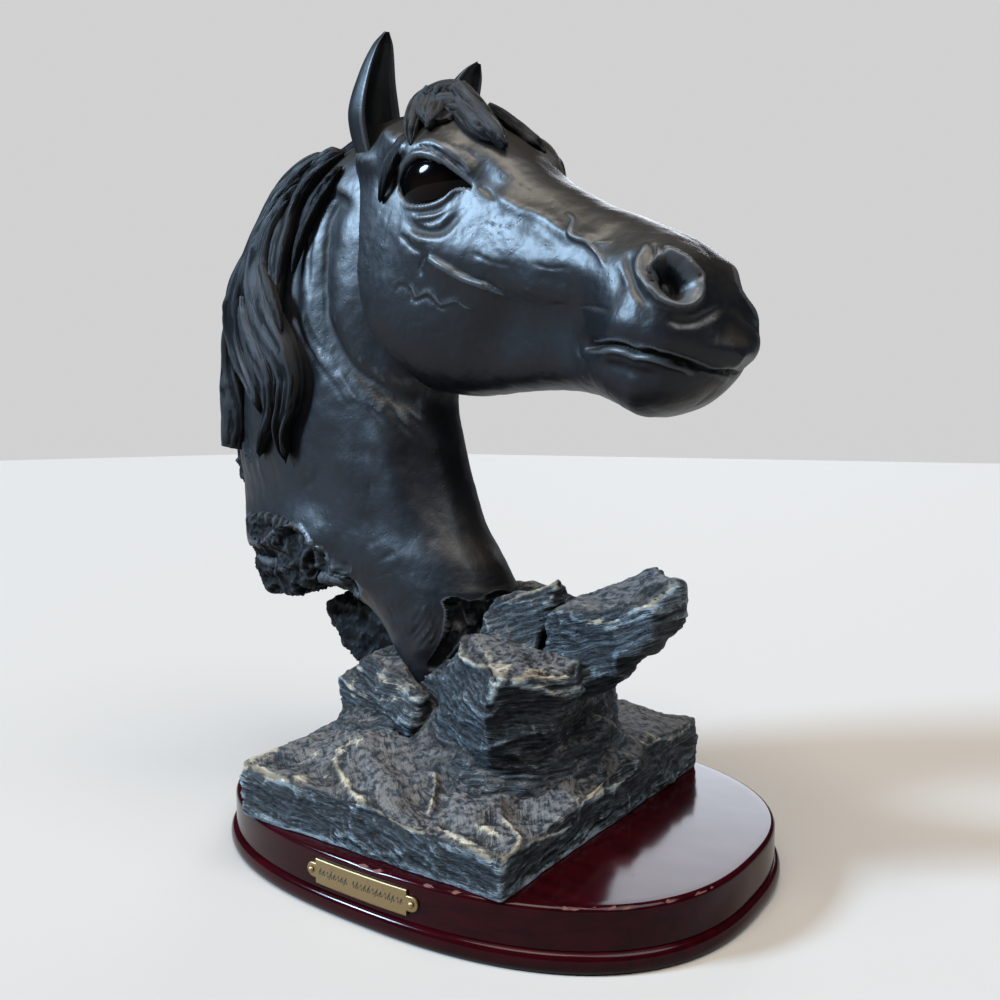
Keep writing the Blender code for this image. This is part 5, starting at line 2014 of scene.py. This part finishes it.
@dataclass(frozen=True)
class HairFinish(Finish):
    """The same paint over combed hair: fine ribs along each lock, dry-brush and painted highlight on the
    strands' backs.
    """

    name: str = "mane_paint"
    dark: Triple = (0.0014, 0.0017, 0.0024)
    lit: Triple = (0.0020, 0.0023, 0.0032)
    # brown of faces that look up: painted warm light from above
    brown: Triple = (0.0120, 0.0096, 0.0074)
    # pale of the strands' backs: dry-brushed paint and painted highlight
    rim: Triple = (0.034, 0.037, 0.041)
    # painted shade in hollows
    hollow_shade: Triple = (0.0008, 0.0010, 0.0014)
    gloss: float = 0.46
    shine: float = 0.09

    def paint(self, shade: Shade) -> None:
        """Adds the nodes.

        Args:
            shade: The material.
        """
        ribs = shade.grain(shade.along((1.2, 22.0, 1.0)), 4.0, 5.0, 0.62)
        cloud = shade.grain(shade.place(), 45.0)
        edge = shade.attribute("edge")
        warm_top_light = shade.attribute("warm_top_light")
        colour = shade.mix(ribs.between(0.35, 0.7), self.dark, self.lit)
        # Brown where the hair looks up: painted warm light from above.
        colour = shade.mix((warm_top_light * (0.4 + cloud)).between(0.1, 0.8), colour, self.brown)
        # Pale on the strands' backs: dry-brushed paint and painted highlights.
        dry_brush_and_highlight = (edge + (ribs - 0.5) * 0.7).between(0.35, 0.9)
        colour = shade.mix(dry_brush_and_highlight * 0.45, colour, self.rim)
        # Darker in hollows: painted shade.
        hollow = (0.0 - edge).between(0.05, 0.7)
        colour = shade.mix(hollow * 0.85, colour, self.hollow_shade)
        shade.set(Base_Color=colour, Roughness=self.gloss + (cloud - 0.5) * 0.2 + hollow * 0.3,
                  Specular_IOR_Level=self.shine, Normal=shade.bump(ribs, 0.0009))


@dataclass(frozen=True)
class RockFinish(Finish):
    """Near-black paint under dusty grey, pale blue lines along the beds and cream rubbed on the ridges.

    The attributes say where: edge and ridge for fine and broad ridges, top for faces that look up, rubbed
    for the hand-rubbed lines and bed for the place across the strokes.
    """

    name: str = "rock_paint"
    dark: Triple = (0.0050, 0.0066, 0.0085)
    slate: Triple = (0.034, 0.046, 0.056)
    dust: Triple = (0.088, 0.080, 0.074)
    cream: Triple = (0.34, 0.29, 0.20)
    frost: Triple = (0.20, 0.25, 0.28)
    # painted shade in hollows and between the strokes
    hollow_shade: Triple = (0.0025, 0.0032, 0.0042)

    def paint(self, shade: Shade) -> None:
        """Adds the nodes.

        Args:
            shade: The material.
        """
        where = shade.place()
        cloud = shade.grain(where, 34.0, 3.0)
        patch = shade.grain(where, 110.0, 4.0, 0.6)
        fine = shade.grain(where, 700.0, 3.0, 0.6)
        lace = shade.grain(where, 330.0, 4.0, 0.62)
        edge, ridge, top, rubbed = (shade.attribute(name) for name in ("edge", "ridge", "top", "rubbed"))
        streaks = self.streaks(shade, 75.0, 0.85)
        threads = self.streaks(shade, 105.0, 1.05)
        level = top.between(0.66, 0.90)
        ribs = self.crest(threads).between(0.62, 1.0)
        bent = shade.bend(where, 60.0, 0.010)
        net = shade.add("ShaderNodeTexVoronoi", {"feature": "DISTANCE_TO_EDGE"}, {
            "Vector": bent, "Scale": 150.0})
        web = (1.0 - net.between(0.0, 0.075)) * patch.between(0.42, 0.62)
        dry = level * (cloud + 0.35) * (patch * 0.45 + lace * 0.55).between(0.34, 0.58)
        drawn = 1.0 - level * 0.55
        strokes = streaks + (lace - streaks) * level * 0.5
        colour = shade.mix(strokes.between(0.40, 0.64), self.dark, self.slate)
        colour = shade.mix(dry.between(0.05, 0.75) * strokes.between(0.36, 0.58), colour, self.dust)
        calm = 1.0 - level * 0.45
        brushed = (edge * calm * 0.55 + ridge * 0.34 + rubbed * 0.74 + ribs * drawn * 0.50
                   + web * (0.06 + level * 0.40) - 0.44 - level * 0.05
                   + (lace - 0.5) * 0.8 + (patch - 0.5) * calm * 1.7
                   + (streaks - 0.5) * drawn * 0.6)
        creamy = (top * 1.3 + (cloud - 0.5) * 1.2 + rubbed * 0.3).between(0.75, 1.25)
        tone = shade.mix(creamy, self.frost, self.cream)
        colour = shade.mix(brushed.between(0.18, 0.95) * 0.88, colour, tone)
        # Darker in hollows and between the strokes and ribs: painted shade.
        hollow = ((0.5 - fine) * 0.4 - edge * 1.1 - (streaks - 0.5) * drawn * 1.9
                  - (lace - 0.5) * level * 0.8 - (ribs - 0.4) * 0.3).between(0.08, 0.60)
        colour = shade.mix(hollow * 0.9, colour, self.hollow_shade)
        height = streaks * drawn * 1.2 + ribs * drawn * 0.40 + fine * 0.30 + lace * 0.8 + web * level * 0.4
        shade.set(Base_Color=colour, Roughness=0.50 + (cloud - 0.5) * 0.25 + level * 0.15,
                  Specular_IOR_Level=0.25, Normal=shade.bump(height, 0.0011))

    @staticmethod
    def streaks(shade: Shade, across: float, through: float) -> Value:
        """Noise drawn out along the rock's beds: the height counts in beds, read from the attribute bed.

        Args:
            shade: The material.
            across: Stretch along X and Y.
            through: Stretch across the beds.

        Returns:
            Noise from 0 to 1.
        """
        split = shade.add("ShaderNodeSeparateXYZ", None, {0: shade.place()})
        x, y = (Value(shade, output) for output in split.socket.node.outputs[:2])
        where = shade.add("ShaderNodeCombineXYZ", None, {
            0: x * across, 1: y * across, 2: shade.attribute("bed") * through})
        return shade.grain(where, 1.0, 4.0, 0.6)

    @staticmethod
    def crest(value: Value) -> Value:
        """1 where noise passes its middle and less to both sides, which draws thin wandering lines."""
        off = value.shade.add("ShaderNodeMath", {"operation": "ABSOLUTE"}, {0: value - 0.5})
        return 1.0 - off * 5.0


@dataclass(frozen=True)
class EyeFinish(Finish):
    """Gloss paint: dark brown low in the iris, black above it as painted shade of the upper lid, read from
    the attribute iris.
    """

    name: str = "eye_gloss"
    black: Triple = (0.0006, 0.0006, 0.0008)
    brown: Triple = (0.0042, 0.0020, 0.0016)

    def paint(self, shade: Shade) -> None:
        """Adds the nodes."""
        colour = shade.mix(shade.attribute("iris").between(0.0, 1.0), self.black, self.brown)
        shade.set(Base_Color=colour, Roughness=0.08, Specular_IOR_Level=0.07)


@dataclass(frozen=True)
class LacquerFinish(Finish):
    """Dark cherry gloss lacquer over wood; the attribute chip bares the wood along the top edge."""

    name: str = "cherry_lacquer"
    deep: Triple = (0.0080, 0.0004, 0.0009)
    red: Triple = (0.0150, 0.0007, 0.0017)
    bare: Triple = (0.10, 0.040, 0.030)
    bare_dark: Triple = (0.06, 0.022, 0.018)

    def paint(self, shade: Shade) -> None:
        """Adds the nodes.

        Args:
            shade: The material.
        """
        where = shade.place()
        figure = shade.grain(shade.place((3.0, 22.0, 22.0)), 9.0, 4.0)
        colour = shade.mix(figure.between(0.3, 0.7), self.deep, self.red)
        fine = shade.grain(where, 700.0, 3.0)
        chip = (shade.attribute("chip") + (fine - 0.5) * 0.6).between(0.45, 0.6)
        colour = shade.mix(chip, colour, shade.mix(fine, self.bare, self.bare_dark))
        dust = shade.grain(where, 900.0, 2.0).between(0.68, 0.8)
        height = shade.grain(where, 26.0, 2.0) + chip * -0.5
        shade.set(Base_Color=colour, Roughness=0.13 + chip * 0.5 + dust * 0.1, Specular_IOR_Level=0.11,
                  Normal=shade.bump(height, 0.00025))


@dataclass(frozen=True)
class BrassFinish(Finish):
    """Brushed pale brass, tarnished in spots."""

    name: str = "plate_brass"
    bright: Triple = (0.27, 0.19, 0.095)
    dull: Triple = (0.14, 0.10, 0.052)
    ink: Triple = (0.006, 0.004, 0.003)
    rough: float = 0.38

    def paint(self, shade: Shade) -> None:
        """Adds the nodes; the attribute ink turns the metal into dark enamel.

        Args:
            shade: The material.
        """
        brushed = shade.grain(shade.place((1.0, 1.0, 60.0)), 60.0, 4.0, 0.6)
        spots = shade.grain(shade.place(), 240.0, 3.0)
        edge, ink = shade.attribute("edge"), shade.attribute("ink").between(0.3, 0.6)
        tarnish = (spots.between(0.5, 0.8) * 0.6 - edge * 0.5).between(0.05, 0.8)
        colour = shade.mix(ink, shade.mix(tarnish, self.bright, self.dull), self.ink)
        shade.set(Base_Color=colour, Metallic=1.0 - ink, Normal=shade.bump(brushed, 0.00004),
                  Roughness=self.rough + (brushed - 0.5) * 0.2 + spots * 0.08)


@dataclass
class Plinth:
    """The oval wooden plinth, in shares and metres of its packed box."""

    columns: int = 340
    squareness: float = 2.5
    bead_height: float = 0.0080
    bead_step: float = 0.0025
    groove_height: float = 0.0012
    top_round: float = 0.0022
    top_rim: float = 0.010  # half width of the last ring, which the pole closes
    chip_depth: float = 0.00030
    chip_size: float = 0.0045
    chip_edge: float = 0.0006  # how far down from the top the chips reach

    def __post_init__(self) -> None:
        """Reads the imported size."""
        low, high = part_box("plinth")
        self.half_length = (high.x - low.x) / 2
        self.half_width = (high.y - low.y) / 2
        self.height = high.z - low.z

    def profile(self) -> Array:
        """(inset, height) from the foot up: rounded bead, groove, plain wall, rounded edge and flat top.

        Returns:
            One row for each ring.
        """
        turn = np.linspace(-math.pi / 2, math.pi / 2, 14)
        dip = np.linspace(0, math.pi, 6)
        bend = np.linspace(0.1, math.pi / 2, 10)
        wall_foot = self.bead_height + self.groove_height * 1.2
        wall_top = self.height - self.top_round
        inwards = (self.half_width - self.top_rim) * np.linspace(0, 1, 9)[1:] ** 1.6
        return np.vstack([
            joined(self.bead_step * (1 - np.cos(turn)) * 0.8, self.bead_height / 2 * (1 + np.sin(turn))),
            joined(self.bead_step * (1.0 + 0.5 * np.sin(dip)),
                   self.bead_height + self.groove_height * (0.1 + 0.1 * dip)),
            joined(self.bead_step, np.linspace(wall_foot, wall_top, 6)),
            joined(self.bead_step + self.top_round * (1 - np.cos(bend)),
                   self.height - self.top_round * (1 - np.sin(bend))),
            joined(self.bead_step + self.top_round + inwards, self.height)])

    def build(self) -> Object:
        """Makes the plinth and bares the wood in chips along its top edge.

        The oval is half the size less the inset, times cos and sin of the angle to the power two over the
        squareness.

        Returns:
            The plinth.
        """
        inset, height = self.profile().T[..., None]
        angle, power = round_angles(self.columns), 2 / self.squareness
        grid = joined((self.half_length - inset) * powered(np.cos(angle), power),
                      (self.half_width - inset) * powered(np.sin(angle), power), height)
        made = ring_object("plinth_body", grid, IN_METRES)
        points, normals, _ = mesh_arrays(made.data)
        chip = self.chips(points)
        dent = self.chip_depth * smooth_step(0.35, 0.8, chip) * (0.6 + 0.4 * noise(points / 0.0012, 61, 2))
        made.data.vertices.foreach_set("co", (points - dent[:, None] * normals).astype(np.float32).ravel())
        set_attribute(made.data, "chip", chip)
        made.data.update()
        made.data.set_sharp_from_angle(angle=math.radians(40))
        return made

    def chips(self, points: Array) -> Array:
        """How bare each point is: close to the top edge, inside spots of noise, mostly on the near side.

        Args:
            points: The plinth's corners in metres.

        Returns:
            One share for each corner.
        """
        turn = np.arctan2(points[:, 1] / self.half_width, points[:, 0] / self.half_length)
        top_edge = np.exp(-(((points[:, 2] - self.height + self.chip_edge) / self.chip_edge) ** 2))
        inset = 1 - np.max(np.abs(points[:, :2]) / np.array([self.half_length, self.half_width]), axis=1)
        where = smooth_step(-1.75, -1.5, turn) * smooth_step(-0.15, -0.5, turn) + 0.25
        spots = smooth_step(0.38, 0.62, noise(points / self.chip_size, 62, 3) + 0.35 * where - 0.1)
        return np.clip(top_edge * (inset < 0.35) * spots * np.minimum(where, 1), 0, 1)


@dataclass
class NamePlate:
    """A thin brass plate on the plinth's near wall, with rows of strokes and two pins, in metres."""

    plinth: Plinth
    notch: float = 0.0022
    gap: float = 0.0003
    thickness: float = 0.0008
    edge_round: float = 0.00022
    stroke_depth: float = 0.00010
    stroke_pitch: float = 0.0021
    stroke_lean: float = 0.45
    pen: float = 0.00036  # half width of a stroke

    def __post_init__(self) -> None:
        """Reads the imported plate."""
        low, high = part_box("name_plate")
        self.middle_x = (high.x + low.x) / 2
        self.middle_z = (high.z + low.z) / 2
        self.length = high.x - low.x
        self.height = high.z - low.z

    def wall(self, x: Array, out: Array | float, z: Array) -> Array:
        """Points standing out from the plinth's near wall: the oval solved for y at x.

        Args:
            x: Places along the wall from the plate's middle.
            out: How far they stand out.
            z: Places up the wall from the plate's middle.

        Returns:
            Points in metres.
        """
        wood = self.plinth
        share = np.abs((x + self.middle_x) / (wood.half_length - wood.bead_step))
        y = -(wood.half_width - wood.bead_step) * (1 - share**wood.squareness) ** (1 / wood.squareness)
        return joined(x + self.middle_x, y - out, self.middle_z + z)

    def half_height(self, x: Array) -> Array:
        """Half the plate's height at x from its middle: full, stepped in at the notches, a round lobe.

        Args:
            x: Places along the plate from its middle.

        Returns:
            Heights in metres.
        """
        from_end = self.length / 2 - np.abs(x)
        lobe = self.height / 2 - self.notch
        rounded = np.sqrt(np.clip(lobe**2 - (lobe - np.clip(from_end, 0, lobe)) ** 2, 1e-9, None))
        body = np.where(from_end < lobe + self.notch, lobe, self.height / 2)
        return np.where(from_end < lobe, rounded, body)

    def strokes(self, x: Array, z: Array) -> Array:
        """Depth from 0 to 1 of two groups of short leaning strokes: distance to even slanted lines.

        Args:
            x: Place along the plate from its middle.
            z: Place up the plate from its middle.

        Returns:
            How deep the surface is cut.
        """
        leant = (x - self.stroke_lean * z) / self.stroke_pitch
        number = np.floor(leant)
        off = np.abs(leant - number - 0.5) * self.stroke_pitch
        tall = 0.0014 + 0.0009 * ((number * 7) % 5) / 4
        low = -0.0012 - 0.0006 * ((number * 3) % 4 == 0)
        group = (np.abs(x) < self.length * 0.38) & (np.abs(x + 0.0045) > 0.0014)
        upright = smooth_step(self.pen, 0.3 * self.pen, off) * ((z < tall) & (z > low))
        wave = 0.0002 - 0.0010 * np.cos(leant * 2 * math.pi)
        tie = smooth_step(self.pen * 1.5, 0.6 * self.pen, np.abs(z - wave))
        return np.clip(upright * (((number * 5) % 3) > 0) + tie, 0, 1) * group

    def build(self) -> list[Object]:
        """Makes the plate and its two pins.

        Returns:
            The plate, then the pins.
        """
        lobe = self.height / 2 - self.notch
        ends = self.length / 2 - lobe * (1 - np.cos(np.linspace(0.12, math.pi / 2, 16)))
        step = self.length / 2 - lobe - self.notch
        notch = np.linspace(step + 0.0004, step + self.notch, 6)[:-1]
        side = np.concatenate([[step, step + 0.00006], notch, np.sort(ends)])
        x = np.concatenate([-side[::-1], np.linspace(-step, step, 330)[1:-1], side])[:, None]
        half = self.half_height(x)
        z = np.linspace(-1, 1, 52)[None, :] * half
        edge = smooth_step(self.edge_round * 2, 0, half - np.abs(z))
        cut = self.strokes(x, z)
        out = self.gap + self.thickness - self.edge_round * edge - self.stroke_depth * cut
        back = self.wall(x, self.gap, np.hstack([half, -half]))
        plate = ring_object("brass_plate", np.concatenate([self.wall(x, out, z), back], axis=1), IN_METRES)
        for name, values in (("ink", cut), ("edge", edge)):
            whole = np.pad(values, ((0, 0), (0, back.shape[1]))).ravel()
            set_attribute(plate.data, name, np.append(whole, [0, 0]))
        plate.data.set_sharp_from_angle(angle=math.radians(50))
        return [plate, self.pin("pin_left", -1), self.pin("pin_right", 1)]

    @staticmethod
    def pin(name: str, side: int) -> Object:
        """A domed pin head: rings whose radius is cos(turn) and rise sin(turn), with the foot closed.

        Args:
            name: The object's name.
            side: -1 for the left pin and 1 for the right.

        Returns:
            The pin.
        """
        low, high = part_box("plate_pin_left" if side < 0 else "plate_pin_right")
        middle = np.array([(low.x + high.x) / 2, high.y, (low.z + high.z) / 2])
        radius, rise = (high.z - low.z) / 2, high.y - low.y
        turn, angle = np.linspace(0, math.pi / 2 * 0.97, 18)[:, None], round_angles(48)
        ring = radius * np.cos(turn)
        dome = joined(ring * np.cos(angle), -rise * np.sin(turn), ring * np.sin(angle))
        made = ring_object(name, dome + middle, IN_METRES)
        for attribute in ("edge", "ink"):
            set_attribute(made.data, attribute, np.zeros(len(made.data.vertices)))
        return made


@dataclass(frozen=True)
class Lamp:
    """A far, soft, round light that falls evenly on everything."""

    name: str
    azimuth: float  # degrees from the -Y side, turning towards +X
    elevation: float
    spread: float  # how wide it looks from the object, in degrees
    power: float  # watts on each square metre that faces it
    colour: Triple
    distance: float = 2.0  # metres from the origin; it has no effect on the light

    def build(self) -> None:
        """Hangs the lamp."""
        data = bpy.data.lights.new(self.name, "SUN")
        data.angle = math.radians(self.spread)
        data.energy = self.power
        data.color = self.colour
        lamp = add_object(self.name, data)
        turn, rise = math.radians(self.azimuth), math.radians(self.elevation)
        way = Vector((math.sin(turn) * math.cos(rise), -math.cos(turn) * math.cos(rise), math.sin(rise)))
        lamp.location = way * self.distance
        lamp.rotation_euler = (-way).to_track_quat("-Z", "Y").to_euler()


LAMPS = (
    Lamp("window", -44.0, 31.0, 13.0, 9.4, (0.50, 0.73, 1.0)),
    Lamp("ceiling", -2.0, 68.0, 34.0, 3.9, (1.0, 0.90, 0.78)),
    Lamp("right_of_camera", 80.0, 60.0, 40.0, 3.4, (0.92, 0.96, 1.0)),
    Lamp("far_window", -158.0, 23.0, 24.0, 0.9, (0.85, 0.90, 1.0)),
)


@dataclass(frozen=True)
class Studio:
    """The pale floor, the lamps, the even room light and the camera."""

    floor_half: float = 6.0
    floor_tone: Triple = (0.255, 0.235, 0.212)
    room: Triple = (0.80, 0.86, 0.95)
    room_strength: float = 0.05
    backdrop: Triple = (0.64, 0.64, 0.64)

    def build(self) -> None:
        """Sets everything up."""
        self.add_floor()
        for lamp in LAMPS:
            lamp.build()
        world = bpy.data.worlds.new("room")
        world.use_nodes = True
        tree = world.node_tree
        dim = tree.nodes["Background"]
        dim.inputs["Color"].default_value = (*self.room, 1.0)
        dim.inputs["Strength"].default_value = self.room_strength
        pale = tree.nodes.new("ShaderNodeBackground")
        pale.inputs["Color"].default_value = (*self.backdrop, 1.0)
        rays, mix = tree.nodes.new("ShaderNodeLightPath"), tree.nodes.new("ShaderNodeMixShader")
        tree.links.new(rays.outputs["Is Camera Ray"], mix.inputs[0])
        tree.links.new(dim.outputs[0], mix.inputs[1])
        tree.links.new(pale.outputs[0], mix.inputs[2])
        tree.links.new(mix.outputs[0], tree.nodes["World Output"].inputs["Surface"])
        bpy.context.scene.world = world
        bpy.context.scene.view_settings.view_transform = "Standard"
        self.add_camera()

    def add_floor(self) -> None:
        """A flat square under the object, a hair below it."""
        corners = np.array([(-1, -1), (1, -1), (1, 1), (-1, 1)]) * self.floor_half
        points = np.hstack([corners, np.full((4, 1), -0.0002)])
        floor = mesh_object("floor", points, np.array([[0, 1, 2, 3]]))
        shade = Shade("pale_floor")
        shade.set(Base_Color=self.floor_tone, Roughness=0.9)
        floor.data.materials.append(shade.material)

    def add_camera(self) -> None:
        """Stands the camera where the photograph was taken from."""
        data = bpy.data.cameras.new("photo_camera")
        data.sensor_width = 36.0
        data.lens = PHOTO.focal / PHOTO.frame * data.sensor_width
        data.clip_start = 0.01
        camera = add_object("photo_camera", data)
        _, _, ahead = PHOTO.axes
        place = PHOTO.place + (0, 0, PHOTO.plinth_top)
        camera.location = Vector(place / 1000.0)
        camera.rotation_euler = Vector(ahead).to_track_quat("-Z", "Y").to_euler()
        bpy.context.scene.camera = camera


def dress(made: Object, material: Material, *nodes: str) -> None:
    """Gives a piece its material and lets it stand in for nodes of the frame on the body root.

    Args:
        made: The piece.
        material: Its finish.
        nodes: The frame's nodes that it stands for.
    """
    made.data.materials.clear()
    made.data.materials.append(material)
    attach(made, "root")
    for node in nodes:
        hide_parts(node)
    LOG.info("%s: %d corners, %d faces", made.name, len(made.data.vertices), len(made.data.polygons))


def main() -> None:
    """Builds the sculpture, piece by piece."""
    logging.basicConfig(level=logging.INFO, format="%(message)s")
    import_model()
    figure = Figure.from_frame()
    Studio().build()
    resin, hair, stone = ResinFinish().make(), HairFinish().make(), RockFinish().make()
    skull, *eyes = Head().build(figure)
    dress(skull, resin, CASTING)
    gloss = EyeFinish().make()
    for eye in eyes:
        dress(eye, gloss, CASTING)
    dress(Neck().build(figure), resin, CASTING)
    for ear in EARS:
        dress(ear.build(figure), resin, CASTING)
    head_rest = Head.place(Head(rows=220, columns=150).rest_grid())
    ground = SeenSurface(head_rest, Neck(rows=200, columns=150).rest_grid())
    for lock in (*MANE, *FORELOCK, *POLL_HAIR):
        dress(lock.build(ground, figure), hair, CASTING)
    for rock in ROCKS:
        dress(rock.build(figure), stone, CASTING)
    torn = ResinFinish("torn_paint", gloss=0.50, shine=0.14).make()
    for rock in TORN_PARTS:
        made = rock.build(figure)
        mark_warm_top_light(made, low=0.2, high=1.4)
        # The torn parts are painted near black: painted shade in the recess.
        set_attribute(made.data, "torn", np.ones(len(made.data.vertices)))
        dress(made, torn, CASTING)
    dress(Slab().build(figure), stone, CASTING)
    plinth = Plinth()
    dress(plinth.build(), LacquerFinish().make(), "plinth")
    plate, *pins = NamePlate(plinth).build()
    brass = BrassFinish().make()
    dress(plate, brass, "name_plate")
    for pin, node in zip(pins, ("plate_pin_left", "plate_pin_right")):
        dress(pin, brass, node)


if __name__ == "__main__":
    main()
